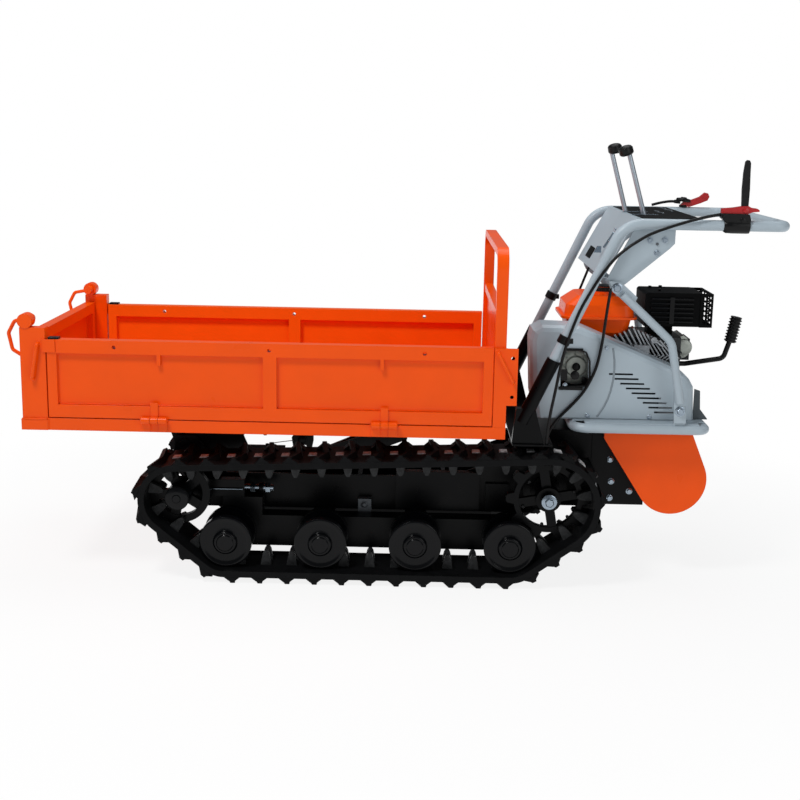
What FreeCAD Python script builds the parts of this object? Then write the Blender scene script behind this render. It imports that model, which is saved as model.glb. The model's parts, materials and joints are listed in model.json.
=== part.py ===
# Crawler carrier: a walk-behind tracked mini dumper with a drop-side bed.
# Millimetres. Z up, ground at Z 0. The operator stands at +X, the bed's gate faces -X.
# The near side is -Y. Every pair of left and right pieces is mirrored in the plane Y 0.
import os
import math
import FreeCAD, Part

V = FreeCAD.Vector

# Overall places
LENGTH = 2044.0
X_FRONT = -LENGTH / 2
X_REAR = LENGTH / 2

# Track
TRACK_Y = 250.0            # centre plane of each track
TRACK_W = 180.0
BAND_T = 17.0
LUG_H = 16.0
PITCH_TARGET = 72.0
LUG_BASE = 26.0
LUG_TOP = 12.0
LUG_APEX = 30.0            # a lug's foremost point, from the track's centre plane
LUG_SKEW_OUT = 22.0
LUG_SKEW_IN = 14.0
LUG_SINK = 9.0             # how far a lug is rooted in the band
HORN_H = 38.0
HORN_L = 24.0
HORN_SINK = 4.0             # how far a horn is rooted in the band
HORN_T = 14.0
HORN_Y = 22.0              # a horn's centre from the track's centre plane
RUN_GAP = 0.5              # between the band and what runs on it

IDLER_X = -578.0
IDLER_Z = 226.0
IDLER_WRAP = 83.0
SPROCKET_X = 429.0
SPROCKET_Z = 233.0
SPROCKET_WRAP = 116.0
ROLLER_WRAP = 72.0
ROLLER_Z = LUG_H + BAND_T + ROLLER_WRAP
ROLLER_X = [-448.0, -190.0, 68.0, 326.0]

# Rollers, idler and sprocket
DISC_T = 20.0
DISC_NEAR_Y = TRACK_Y + 46.0   # middle of the outer disc
DISC_FAR_Y = TRACK_Y - 42.0    # middle of the inner disc
ROLLER_HUB_R = 24.0
AXLE_R = 15.0
PLATE_T = 22.0             # sprocket and idler plate
TOOTH_COUNT = 10
TOOTH_H = 21.0
SPOKE_W = 26.0

# Roller beam and chassis
BEAM_X0 = -400.0
BEAM_X1 = 300.0
BEAM_IN = TRACK_Y - 110.0
BEAM_OUT = TRACK_Y - 54.0
BEAM_Z0 = 62.0
BEAM_Z1 = 150.0
CHASSIS_HALF = TRACK_Y - 132.0
CHASSIS_WALL = 8.0
CHASSIS_Z0 = 150.0
CHASSIS_Z1 = 250.0
RAIL_Y = CHASSIS_HALF - 24.0   # rails under the engine's tray
REAR_Z1 = 390.0             # top of the side plates at the engine
REAR_Z0 = 174.0             # their bottom behind the last roller
RISE_X = 400.0
CHASSIS_X0 = -600.0
CHASSIS_X1 = 560.0

# Bed
BED_HALF = 350.0
POST_X0 = X_FRONT + 49.0
POST_X1 = POST_X0 + 67.0
POST_T = 32.0
POST_TOP = 691.0
BED_Z0 = 419.0
FRAME_H = 32.0
BED_X1 = 299.0             # rear face of the rear posts
REAR_POST_X0 = 265.0
SHEET_T = 4.0
SHEET_SINK = 1.0            # the floor sheet lies this far below the rails' tops
FLOOR_UNDER = BED_Z0 + FRAME_H - SHEET_SINK - SHEET_T
HOOP_X = (REAR_POST_X0 + BED_X1) / 2 - 2
SHEET_X1 = HOOP_X - 3.5
BOARD_GAP = 3.0
BOARD_TOP = 661.0
BOARD_T = 30.0
TOP_RAIL_H = 36.0
LOW_RAIL_H = 34.0
STILE_W = 25.0
MID_POST_W = 36.0
PANEL_SINK = 10.0
PANEL_T = 3.0
HINGE_X = [-624.0, -19.0]
HINGE_L = 68.0
HINGE_R = 9.0
HINGE_PIN_R = 3.4
HOLE_R = 5.0
HOLE_PITCH = 405.0
HOLE_MID_X = -322.0
TAB_X = [-611.0, -27.0]
GATE_T = 30.0
GATE_TOP = 668.0
GATE_Z0 = 460.0
KNOB_X = X_FRONT + 64.0
KNOB_Z = 708.0
KNOB_R = 19.5
KNOB_L = 34.0
KNOB_Y = BED_HALF - 16.0
NECK_R = 5.0
FLANGE_T = 6.0
FLANGE_X1 = 326.0
FLANGE_Z0 = 510.0
FLANGE_HOLE_X = 313.0
FLANGE_HOLE_Z = 584.0
FLANGE_HOLE_PITCH = 103.0
HOOP_TOP = 918.0
HOOP_Y = BED_HALF - 20.0             # middle of the hoop's posts
HOOP_W = 30.0
HOOP_T = 20.0
HOOP_BEND = 42.0
CROSSBAR_Z = 741.0
CROSSBAR_H = 22.0

# Tipping
PIVOT_X = -591.0
PIVOT_Z = 333.0
PIVOT_R = 14.0
BARREL_X = -285.0
BARREL_Z = 235.0
EYE_X = 45.0
EYE_Z = 378.0
CYL_R = 27.0
ROD_R = 14.0
EYE_R = 20.0
EYE_W = 24.0
LUG_GAP = 5.0

# Handle
HANDLE_Y = 285.0
TUBE_R = 14.0
HANDLE_Z = 984.0
ELBOW_X = X_REAR - 430.0
ELBOW_BEND = 75.0
CORNER_BEND = 20.0
SOCKET_R = 19.0
STEM_FOOT_X = 346.5
STEM_FOOT_Z = 453.0
STEM_MID_X = 423.0
STEM_MID_Z = 618.0
CONSOLE_X0 = ELBOW_X + 35.0
CONSOLE_X1 = CONSOLE_X0 + 173.0
CONSOLE_TOP = 996.5
CONSOLE_T = 3.0
SLOT_W = 17.0
SLOT_L = 70.0
NEAR_LEVER_Y = -120.0
FAR_LEVER_Y = 0.0
GUSSET_T = 5.0
SEAT = 0.3                 # between pieces that rest on each other
GUSSET_Y = HANDLE_Y - TUBE_R - SEAT
DECK_Z = 396.0             # underside of the base frame's legs
BASE_Z = DECK_Z + 40.0     # middle of the base tube
BASE_R = 12.5
BASE_X0 = 488.0
BASE_X1 = X_REAR - 179.0
BASE_Y = HANDLE_Y - 15.0
TRAY_TOP = BASE_Z + BASE_R + 3.5
TRAY_T = 4.0
ENGINE_H = 204.7
ENGINE_TOP = TRAY_TOP + ENGINE_H
COVER_Y = -228.0
COVER_BACK = -126.0
COVER_T = 3.0
LOUVRE_COUNT = 9
LOUVRE_X = 581.2
LOUVRE_Z = 577.3
LOUVRE_STEP_X = 15.9
LOUVRE_STEP_Z = 12.9
LOUVRE_L = 64.5
LOUVRE_H = 5.0
WINDOW = [(448, 640), (506, 641), (523, 620),
          (526, 549), (510, 540), (452, 539)]
TANK_LOW_H = 54.1          # the tank's lower shell
TANK_SEAM = ENGINE_TOP + TANK_LOW_H
MUFFLER_Z0 = ENGINE_TOP + 35.3
CAP_X = 582.0
FIN_COUNT = 12
FIN_X0 = 650.0
FIN_PITCH = 13.0
FIN_T = 4.0
PORT_Y = 112.0
PORT_Z = 872.0
PORT_W = 90.0
PORT_H = 28.0
KNOB_HEAD_R = 19.5
KNOB_HEAD_L = 29.0
LEVER_R = 6.5
LEVER_SLOTS = [(ELBOW_X + 80.0, NEAR_LEVER_Y), (ELBOW_X + 72.5, FAR_LEVER_Y)]
GUARD_Y = -218.0
GUARD_R = 97.0
GUARD_X = 768.0
GUARD_Z = 283.0
HOUSING_R = 62.0
HOUSING_Y = TRACK_Y - 74.0


def box(x0, x1, y0, y1, z0, z1):
    """A box between two corners."""
    return Part.makeBox(x1 - x0, y1 - y0, z1 - z0, V(x0, y0, z0))


def rod(a, b, r):
    """A round bar from a to b."""
    d = V(*b) - V(*a)
    return Part.makeCylinder(r, d.Length, V(*a), d)


def rod_y(x, z, r, y0, y1):
    """A round bar along Y."""
    return rod((x, min(y0, y1), z), (x, max(y0, y1), z), r)


def join(shapes):
    """One clean solid from overlapping ones."""
    out = shapes[0].multiFuse(shapes[1:]) if len(shapes) > 1 else shapes[0]
    return out.removeSplitter()


def mirrored(shape):
    """The same shape on the other side of the plane Y 0."""
    return shape.mirror(V(0, 0, 0), V(0, 1, 0))


def plate_xz(points, y0, y1):
    """A flat plate with its outline in X and Z, from y0 to y1."""
    ring = [V(x, min(y0, y1), z) for x, z in points]
    face = Part.Face(Part.makePolygon(ring + [ring[0]]))
    return face.extrude(V(0, abs(y1 - y0), 0))


def bent_wire(points, bend):
    """Straight runs joined by tangent arcs; bend is one radius or one a corner."""
    pts = [V(*p) for p in points]
    bends = bend if isinstance(bend, list) else [bend] * (len(pts) - 2)
    edges = []
    start = pts[0]
    for i in range(1, len(pts) - 1):
        u = (pts[i - 1] - pts[i]).normalize()
        w = (pts[i + 1] - pts[i]).normalize()
        half_turn = (math.pi - u.getAngle(w)) / 2
        reach = bends[i - 1] * math.tan(half_turn)
        p0 = pts[i] + u * reach
        p1 = pts[i] + w * reach
        inward = (u + w).normalize()
        middle = pts[i] + inward * (bends[i - 1] / math.cos(half_turn) - bends[i - 1])
        edges.append(Part.makeLine(start, p0))
        edges.append(Part.Arc(p0, middle, p1).toShape())
        start = p1
    edges.append(Part.makeLine(start, pts[-1]))
    return Part.Wire(edges)


def bent_rod(points, bend, r):
    """A round bar or tube along straight runs and arcs."""
    spine = bent_wire(points, bend)
    start = V(*points[0])
    heading = V(*points[1]) - start
    ring = Part.Wire(Part.makeCircle(r, start, heading))
    return spine.makePipe(Part.Face(ring))


def cable(name, points, r):
    """A cable that the object holds; every bend takes its radius from its shorter run."""
    pts = [V(*p) for p in points]
    bends = []
    for i in range(1, len(pts) - 1):
        u = pts[i - 1] - pts[i]
        w = pts[i + 1] - pts[i]
        half_turn = (math.pi - u.getAngle(w)) / 2
        bends.append(0.45 * min(u.Length, w.Length) / math.tan(half_turn))
    print(name, "bend radii", [round(b, 1) for b in bends], "diameter", 2 * r)
    return bent_rod(points, bends, r)


# The track's loop is the hull of its wheels, so it follows them when one is moved.
WHEELS = [
    (IDLER_X, IDLER_Z, IDLER_WRAP),
    (ROLLER_X[0], ROLLER_Z, ROLLER_WRAP),
    (ROLLER_X[-1], ROLLER_Z, ROLLER_WRAP),
    (SPROCKET_X, SPROCKET_Z, SPROCKET_WRAP),
]


def loop_runs(offset):
    """Arcs and straights of the loop, offset outward from the band's inner face."""
    n = len(WHEELS)
    normals = []
    for i in range(n):
        x0, z0, r0 = WHEELS[i]
        x1, z1, r1 = WHEELS[(i + 1) % n]
        length = math.hypot(x1 - x0, z1 - z0)
        heading = math.atan2(z1 - z0, x1 - x0)
        normals.append(heading - math.acos((r0 - r1) / length))
    runs = []
    for i in range(n):
        x, z, r = WHEELS[i]
        a0 = normals[i - 1]
        a1 = normals[i]
        while a1 < a0:
            a1 += 2 * math.pi
        runs.append((x, z, r + offset, a0, a1, normals[i], WHEELS[(i + 1) % n]))
    return runs


def loop_wire(offset, y):
    """The loop as a closed wire in the plane Y."""
    edges = []
    for x, z, r, a0, a1, normal, nxt in loop_runs(offset):
        def on(a, cx=x, cz=z, rr=r):
            return V(cx + rr * math.cos(a), y, cz + rr * math.sin(a))
        edges.append(Part.Arc(on(a0), on((a0 + a1) / 2), on(a1)).toShape())
        far = V(nxt[0] + (nxt[2] + offset) * math.cos(normal), y,
                nxt[1] + (nxt[2] + offset) * math.sin(normal))
        edges.append(Part.makeLine(on(a1), far))
    return Part.Wire(edges)


def loop_stations(offset, count):
    """Evenly spaced places on the loop, each with its outward direction in degrees."""
    pieces = []
    total = 0.0
    for x, z, r, a0, a1, normal, nxt in loop_runs(offset):
        arc = r * (a1 - a0)
        pieces.append(("arc", total, arc, x, z, r, a0, normal))
        total += arc
        x0 = x + r * math.cos(normal)
        z0 = z + r * math.sin(normal)
        x1 = nxt[0] + (nxt[2] + offset) * math.cos(normal)
        z1 = nxt[1] + (nxt[2] + offset) * math.sin(normal)
        line = math.hypot(x1 - x0, z1 - z0)
        pieces.append(("line", total, line, x0, z0, 0.0, math.atan2(z1 - z0, x1 - x0), normal))
        total += line
    places = []
    for k in range(count):
        s = total * (k + 0.5) / count
        for kind, begin, size, x, z, r, a, normal in pieces:
            if begin <= s < begin + size:
                t = s - begin
                if kind == "arc":
                    n = a + t / r
                    places.append((x + r * math.cos(n), z + r * math.sin(n), math.degrees(n)))
                else:
                    places.append((x + t * math.cos(a), z + t * math.sin(a),
                                   math.degrees(normal)))
                break
    return places, total


PITCH_LINE = loop_stations(BAND_T / 2, 1)[1]
LUG_COUNT = int(round(PITCH_LINE / PITCH_TARGET))
print("track pitch line", round(PITCH_LINE, 1), "lugs", LUG_COUNT,
      "pitch", round(PITCH_LINE / LUG_COUNT, 2))


def on_loop(shape, place):
    """Turn a shape drawn with +X outward onto a place on the loop."""
    x, z, degrees = place
    moved = shape.copy()
    moved.rotate(V(0, 0, 0), V(0, 1, 0), -degrees)
    moved.translate(V(x, 0, z))
    return moved


def solid_between(low, high):
    """A solid with flat sides between two outlines of as many corners."""
    n = len(low)
    faces = [Part.Face(Part.makePolygon(ring + [ring[0]])) for ring in (low, high)]
    for i in range(n):
        j = (i + 1) % n
        faces.append(Part.Face(Part.makePolygon([low[i], low[j], high[j], high[i], low[i]])))
    return Part.Solid(Part.Shell(faces))


def lug():
    """One tapered chevron lug drawn with +X outward, Y across and Z along the loop."""
    end = TRACK_W / 2 - 1
    sections = []
    for x, w in ((-LUG_SINK, LUG_BASE / 2), (LUG_H, LUG_TOP / 2)):
        sections.append([V(x, TRACK_Y + y, s + w * side)
                         for side, ys in ((-1, 1), (1, -1))
                         for y, s in ((-end, LUG_SKEW_IN), (LUG_APEX, 0.0),
                                      (end, LUG_SKEW_OUT))[::ys]])
    return solid_between(*sections)


def horn(y):
    """One guide horn, a wedge that points into the loop."""
    y0 = y - HORN_T / 2
    ring = [V(HORN_SINK, y0, -HORN_L / 2), V(HORN_SINK, y0, HORN_L / 2), V(-HORN_H, y0, 0)]
    return Part.Face(Part.makePolygon(ring + [ring[0]])).extrude(V(0, HORN_T, 0))


def track():
    """One track as a fixed loop: band, chevron lugs and guide horns."""
    y0 = TRACK_Y - TRACK_W / 2
    outer = Part.Face(loop_wire(BAND_T, y0)).extrude(V(0, TRACK_W, 0))
    inner = Part.Face(loop_wire(0.0, y0 - 1)).extrude(V(0, TRACK_W + 2, 0))
    band = outer.cut(inner)
    one_lug = lug()
    places, _ = loop_stations(BAND_T, LUG_COUNT)
    parts = [on_loop(one_lug, p) for p in places]
    roots, _ = loop_stations(0.0, LUG_COUNT)
    for p in roots:
        for side in (-1, 1):
            parts.append(on_loop(horn(TRACK_Y + side * HORN_Y), p))
    return band.multiFuse(parts)


def ring_plate(x, z, r_out, r_in, hub_r, spokes, first_angle):
    """A rim, hub and spokes in the track's centre plane."""
    y0 = TRACK_Y - PLATE_T / 2
    rim = Part.makeCylinder(r_out, PLATE_T, V(x, y0, z), V(0, 1, 0))
    rim = rim.cut(Part.makeCylinder(r_in, PLATE_T + 2, V(x, y0 - 1, z), V(0, 1, 0)))
    parts = [rim, rod_y(x, z, hub_r, TRACK_Y - PLATE_T, TRACK_Y + PLATE_T)]
    for k in range(spokes):
        arm = box(0, r_in + 4, y0 + 3, y0 + PLATE_T - 3, -SPOKE_W / 2, SPOKE_W / 2)
        arm.rotate(V(0, 0, 0), V(0, 1, 0), -(first_angle + 360.0 * k / spokes))
        arm.translate(V(x, 0, z))
        parts.append(arm)
    return join(parts)


def sprocket():
    """Driven sprocket with blocks for teeth, on its axle from the final drive."""
    tip = SPROCKET_WRAP - RUN_GAP
    root = tip - TOOTH_H
    body = ring_plate(SPROCKET_X, SPROCKET_Z, root, root - 14, 34.0, 4, 10.0)
    y0 = TRACK_Y - PLATE_T / 2
    teeth = []
    for k in range(TOOTH_COUNT):
        tooth = plate_xz([(root - 6, -17), (tip - 4, -12), (tip, -6), (tip, 6), (tip - 4, 12),
                          (root - 6, 17)], y0, y0 + PLATE_T)
        tooth.rotate(V(0, 0, 0), V(0, 1, 0), -(360.0 * k / TOOTH_COUNT))
        tooth.translate(V(SPROCKET_X, 0, SPROCKET_Z))
        teeth.append(tooth)
    axle = rod_y(SPROCKET_X, SPROCKET_Z, 20.0, HOUSING_Y + SEAT, TRACK_Y + 34)
    bolt = rod_y(SPROCKET_X, SPROCKET_Z, 16.0, TRACK_Y + 30, TRACK_Y + 42)
    return join([body] + teeth + [axle, bolt])


def final_drive():
    """Round housing between the chassis plate and the sprocket."""
    return join([rod_y(SPROCKET_X, SPROCKET_Z, HOUSING_R, CHASSIS_HALF, HOUSING_Y - 14),
                 rod_y(SPROCKET_X, SPROCKET_Z, HOUSING_R - 22, HOUSING_Y - 16, HOUSING_Y)])


def idler():
    """Front idler: a spoked ring on a stub axle with a round cap."""
    body = ring_plate(IDLER_X, IDLER_Z, IDLER_WRAP - RUN_GAP, IDLER_WRAP - 21, 32.0, 5, 40.0)
    cap = rod_y(IDLER_X, IDLER_Z, 33.0, TRACK_Y + 8, TRACK_Y + 60)
    axle = rod_y(IDLER_X, IDLER_Z, 18.0, BEAM_OUT - 36, TRACK_Y)
    return join([body, cap, axle])


def roller(x):
    """Two-disc roller, held by its axle in the beam."""
    r = ROLLER_WRAP - RUN_GAP
    parts = []
    for y in (DISC_FAR_Y, DISC_NEAR_Y):
        parts.append(rod_y(x, ROLLER_Z, r, y - DISC_T / 2, y + DISC_T / 2))
    parts.append(rod_y(x, ROLLER_Z, ROLLER_HUB_R, BEAM_OUT + 1, DISC_NEAR_Y + DISC_T / 2 + 10))
    parts.append(rod_y(x, ROLLER_Z, AXLE_R, BEAM_OUT - 20, BEAM_OUT + 10))
    return join(parts)


def roller_beam():
    """Box beam that carries one side's rollers, with arms to the chassis."""
    beam = box(BEAM_X0, BEAM_X1, BEAM_IN, BEAM_OUT, BEAM_Z0, BEAM_Z1)
    for x in ROLLER_X:
        beam = beam.cut(rod_y(x, ROLLER_Z, AXLE_R + 0.3, BEAM_OUT - 20.3, BEAM_OUT + 1))
    parts = [beam]
    for x in ROLLER_X[:-1]:
        parts.append(box(x - 30, x + 30, CHASSIS_HALF, BEAM_IN + 4, BEAM_Z0 + 10,
                         CHASSIS_Z0 + 6))
    end = box(BEAM_X0 - 70, BEAM_X0 + 40, BEAM_IN, BEAM_OUT, BEAM_Z1 - 30, IDLER_Z - 24)
    parts.append(end)
    return join(parts)


def tensioner():
    """Fork and screw that push the idler forward."""
    fork = box(IDLER_X - 26, BEAM_X0 - 10, BEAM_OUT - 30, BEAM_OUT, IDLER_Z - 24, IDLER_Z + 24)
    fork = fork.cut(rod_y(IDLER_X, IDLER_Z, 18.3, 100, 400))
    screw = rod((BEAM_X0 - 20, BEAM_OUT - 15, IDLER_Z), (BEAM_X0 + 60, BEAM_OUT - 15, IDLER_Z), 8)
    nut = Part.makeCylinder(14, 12, V(BEAM_X0 + 30, BEAM_OUT - 15, IDLER_Z), V(1, 0, 0))
    return join([fork, screw, nut])


def chassis():
    """Two side plates, cross members, the tipping bearing and the cylinder's foot."""
    parts = []
    for s in (-1, 1):
        y0 = s * CHASSIS_HALF
        y1 = s * (CHASSIS_HALF - CHASSIS_WALL)
        parts.append(plate_xz([(CHASSIS_X0 + 60, CHASSIS_Z0), (RISE_X, CHASSIS_Z0),
                               (RISE_X + 20, REAR_Z0), (CHASSIS_X1, REAR_Z0),
                               (CHASSIS_X1, REAR_Z1), (CHASSIS_X1 - 180, REAR_Z1),
                               (CHASSIS_X1 - 240, REAR_Z1 - 80), (CHASSIS_X1 - 400, CHASSIS_Z1),
                               (CHASSIS_X0 + 130, CHASSIS_Z1),
                               (PIVOT_X + 34, PIVOT_Z + 22), (PIVOT_X - 24, PIVOT_Z + 22),
                               (PIVOT_X - 30, PIVOT_Z - 40)], y0, y1))
    inside = CHASSIS_HALF - 2
    for x0, x1, z0, z1 in ((-560, -548, 170, 290), (-360, -348, 156, CHASSIS_Z1 - 10),
                           (-100, -88, 156, CHASSIS_Z1 - 10), (140, 152, 156, CHASSIS_Z1 - 10),
                           (330, 342, 156, REAR_Z1 - 90), (540, 552, REAR_Z0 + 4, REAR_Z1 - 10)):
        parts.append(box(x0, x1, -inside, inside, z0, z1))
    parts.append(box(CHASSIS_X0 + 65, RISE_X, -inside, inside, CHASSIS_Z0 + 2, CHASSIS_Z0 + 10))
    parts.append(plate_xz([(RISE_X - 4, CHASSIS_Z0 + 2), (RISE_X + 18, REAR_Z0 + 2),
                           (CHASSIS_X1 - 14, REAR_Z0 + 2), (CHASSIS_X1 - 14, REAR_Z0 + 10),
                           (RISE_X + 14, REAR_Z0 + 10), (RISE_X - 4, CHASSIS_Z0 + 10)],
                          -inside, inside))
    near = 2 - CHASSIS_HALF
    parts.append(box(11, 247, near - 26, near, 158, 270).cut(
        box(40, 220, near - 24, near - 2, 160, 248)))
    parts.append(box(265, 330, near - 14, near, 158, 236))
    for s in (-1, 1):
        y = s * (EYE_W / 2 + LUG_GAP)
        ear = plate_xz([(-352, 160), (BARREL_X + 20, 160), (BARREL_X + 20, BARREL_Z + 10),
                        (BARREL_X + 10, BARREL_Z + 20), (BARREL_X - 14, BARREL_Z + 20),
                        (-352, 210)], y, y + s * 10)
        parts.append(ear)
        parts.append(rod_y(BARREL_X, BARREL_Z, EYE_R - 4, s * (EYE_W / 2 + SEAT), y + s * 2))
    body = join(parts)
    body = body.cut(rod_y(PIVOT_X, PIVOT_Z, PIVOT_R + 0.3, -200, 200))
    stub = rod_y(BARREL_X, BARREL_Z, 9.7, -30, 30)
    return join([body, stub])


def bed_frame():
    """Floor sheet on side rails and cross members, with the boards' fixed hinge leaves."""
    z1 = BED_Z0 + FRAME_H
    inner = BED_HALF - POST_T
    under = FLOOR_UNDER
    top = under + SHEET_T
    parts = [box(POST_X0 + 4, SHEET_X1, SEAT - inner, inner - SEAT, under, top),
             box(POST_X1, SHEET_X1, -inner, inner, under, top)]
    for s in (-1, 1):
        parts.append(box(POST_X1, BED_X1, min(s * BED_HALF, s * inner), max(s * BED_HALF, s * inner),
                         BED_Z0, z1))
    parts.append(box(POST_X0 + 4, POST_X0 + 38, SEAT - inner, inner - SEAT, BED_Z0, under))
    for x in (PIVOT_X - 109, PIVOT_X + 151, -180.0, EYE_X - 15, REAR_POST_X0):
        parts.append(box(x, x + 34, -inner - 1, inner + 1, BED_Z0, under))
    leaves = hinge_leaves()
    return join(parts + leaves + [mirrored(leaf) for leaf in leaves])


def bed_brackets():
    """Tipping brackets with their shaft, and the ears for the lift cylinder's eye."""
    top = FLOOR_UNDER - SEAT
    arms = [rod_y(PIVOT_X, PIVOT_Z, PIVOT_R, -CHASSIS_HALF - 8, CHASSIS_HALF + 8)]
    ears = [box(EYE_X - 34, EYE_X + 34, -40, 40, BED_Z0 - SEAT - 6, BED_Z0 - SEAT)]
    for s in (-1, 1):
        arms.append(plate_xz([(PIVOT_X - 70, top), (PIVOT_X - 30, PIVOT_Z - 4),
                              (PIVOT_X - 16, PIVOT_Z - 20), (PIVOT_X + 18, PIVOT_Z - 20),
                              (PIVOT_X + 150, BED_Z0 - 10), (PIVOT_X + 150, top)], s * 98, s * 86))
        y = s * (EYE_W / 2 + LUG_GAP)
        ears.append(plate_xz([(EYE_X - 34, BED_Z0 - SEAT - 3), (EYE_X - 20, EYE_Z - 20),
                              (EYE_X + 20, EYE_Z - 20), (EYE_X + 34, BED_Z0 - SEAT - 3)],
                             y, y + s * 10))
    return Part.makeCompound([join(arms), join(ears)])


def front_post():
    """Corner post with a foot collar, the barrel for the gate's gooseneck and a latch rod."""
    y0 = BED_HALF - POST_T
    x1 = POST_X1 - SEAT
    post = box(POST_X0 + SEAT, x1, y0, BED_HALF, BED_Z0, POST_TOP)
    collar = box(POST_X0 - 3, x1, BED_HALF - 6, BED_HALF + 3, BED_Z0, BED_Z0 + 29)
    toe = box(POST_X0 - 3, POST_X0 + 3, y0, BED_HALF + 3, BED_Z0, BED_Z0 + 29)
    barrel = rod_y(KNOB_X, KNOB_Z, KNOB_R, KNOB_Y - 16, KNOB_Y + 18)
    top = (POST_X1 - 19, POST_TOP - 41)
    low = (POST_X1 - 35, POST_TOP - 134)
    y1 = BED_HALF - 4
    y2 = BED_HALF + 11
    latch = bent_rod([(top[0], y1, top[1]), (top[0], y2, top[1]), (low[0], y2, low[1]),
                      (low[0], y1, low[1])], 6.0, 4.5)
    return join([post, collar, toe, barrel, latch])


def side_board():
    """Drop side: rails, stiles, middle post and two sunk panels, with its hinge knuckles."""
    x0 = POST_X1 + BOARD_GAP
    x1 = REAR_POST_X0 - BOARD_GAP
    z0 = BED_Z0 + FRAME_H + BOARD_GAP
    y1 = BED_HALF
    y0 = BED_HALF - BOARD_T
    board = box(x0, x1, y0, y1, z0, BOARD_TOP)
    middle = (x0 + x1) / 2
    for a, b in ((x0 + STILE_W, middle - MID_POST_W / 2),
                 (middle + MID_POST_W / 2, x1 - STILE_W)):
        board = board.cut(box(a, b, y1 - PANEL_SINK, y1 + 1, z0 + LOW_RAIL_H,
                              BOARD_TOP - TOP_RAIL_H))
        board = board.cut(box(a, b, y0 - 1, y1 - PANEL_SINK - PANEL_T, z0 + LOW_RAIL_H,
                              BOARD_TOP - TOP_RAIL_H))
    for k in (-1, 0, 1):
        board = board.cut(rod_y(HOLE_MID_X + k * HOLE_PITCH, BOARD_TOP - TOP_RAIL_H / 2, HOLE_R,
                                y0 - 1, y1 + 1))
    parts = [board]
    for x in TAB_X:
        parts.append(box(x - 5, x + 5, y1 - 8, y1, BOARD_TOP - TOP_RAIL_H - 28,
                         BOARD_TOP - TOP_RAIL_H + 2))
    for x in HINGE_X:
        parts.append(box(x - HINGE_L / 2 + 24, x + HINGE_L / 2 - 24, y1 - 1, y1 + 4,
                         z0 - 1, z0 + 44))
        knuckle = Part.makeCylinder(HINGE_R, HINGE_L - 48,
                                    V(x - HINGE_L / 2 + 24, y1 + HINGE_R, z0 - 2), V(1, 0, 0))
        parts.append(knuckle)
    bore = Part.makeCylinder(HINGE_PIN_R + 0.4, x1 - x0, V(x0, y1 + HINGE_R, z0 - 2), V(1, 0, 0))
    return join(parts).cut(bore)


def hinge_leaves():
    """Fixed hinge leaves on the frame rail, either side of the board's knuckle."""
    parts = []
    z0 = BED_Z0 + FRAME_H + BOARD_GAP
    for x in HINGE_X:
        for a in (x - HINGE_L / 2, x + HINGE_L / 2 - 23):
            leaf = box(a, a + 23, BED_HALF - 1, BED_HALF + 4, BED_Z0 + 2, z0 - 4)
            eye = Part.makeCylinder(HINGE_R, 23, V(a, BED_HALF + HINGE_R, z0 - 2), V(1, 0, 0))
            parts.append(leaf.fuse(eye))
        parts.append(Part.makeCylinder(HINGE_PIN_R, HINGE_L,
                                       V(x - HINGE_L / 2, BED_HALF + HINGE_R, z0 - 2), V(1, 0, 0)))
    return parts


def gate():
    """Front gate in its frame, hung by two goosenecks from the barrels on the posts."""
    y1 = BED_HALF - POST_T - BOARD_GAP
    x0 = POST_X0
    panel = box(x0, x0 + GATE_T, -y1, y1, GATE_Z0, GATE_TOP)
    for a, b, rim in ((x0 - 1, x0 + 8, 25), (x0 + 11, x0 + GATE_T + 1, 30)):
        panel = panel.cut(box(a, b, -y1 + rim, y1 - rim, GATE_Z0 + rim, GATE_TOP - rim))
    parts = [panel]
    for s in (-1, 1):
        y = s * (y1 - 16)
        points = [(KNOB_X, y, KNOB_Z), (X_FRONT + 22, y, KNOB_Z - 8), (X_FRONT + NECK_R, y, KNOB_Z - 40),
                  (X_FRONT + 14, y, KNOB_Z - 84), (x0 + 4, y, KNOB_Z - 108)]
        parts.append(bent_rod(points, 12.0, NECK_R))
        parts.append(rod_y(KNOB_X, KNOB_Z, 12.0, s * (y1 - 24), s * (BED_HALF - POST_T - 0.4)))
        parts.append(box(x0 - 6, x0 + 4, y - 14, y + 14, KNOB_Z - 150, KNOB_Z - 96))
    return join(parts)


def hoop():
    """Headboard hoop at the rear of the bed, with its crossbar."""
    x = HOOP_X
    z0 = BED_Z0 + FRAME_H
    path = bent_wire([(x, -HOOP_Y, z0 + 0.2), (x, -HOOP_Y, HOOP_TOP - HOOP_T / 2),
                      (x, HOOP_Y, HOOP_TOP - HOOP_T / 2), (x, HOOP_Y, z0 + 0.2)], HOOP_BEND)
    section = [V(x - HOOP_W / 2, -HOOP_Y - HOOP_T / 2, z0 + 0.2),
               V(x + HOOP_W / 2, -HOOP_Y - HOOP_T / 2, z0 + 0.2),
               V(x + HOOP_W / 2, -HOOP_Y + HOOP_T / 2, z0 + 0.2),
               V(x - HOOP_W / 2, -HOOP_Y + HOOP_T / 2, z0 + 0.2)]
    frame = path.makePipeShell([Part.makePolygon(section + [section[0]])], True, False)
    bar = box(x - 12, x + 12, -HOOP_Y, HOOP_Y, CROSSBAR_Z - CROSSBAR_H / 2,
              CROSSBAR_Z + CROSSBAR_H / 2)
    return join([frame, bar])


def headboard():
    """Panel below the crossbar, standing on the rear sill."""
    x = HOOP_X
    y1 = HOOP_Y - HOOP_T / 2
    z0 = BED_Z0 + FRAME_H
    low = BED_HALF - POST_T - SEAT
    return join([box(x - 3, x + 3, -low, low, FLOOR_UNDER, z0 + 10),
                 box(x - 3, x + 3, -y1, y1, z0 + SEAT, CROSSBAR_Z - CROSSBAR_H / 2)])


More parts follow.
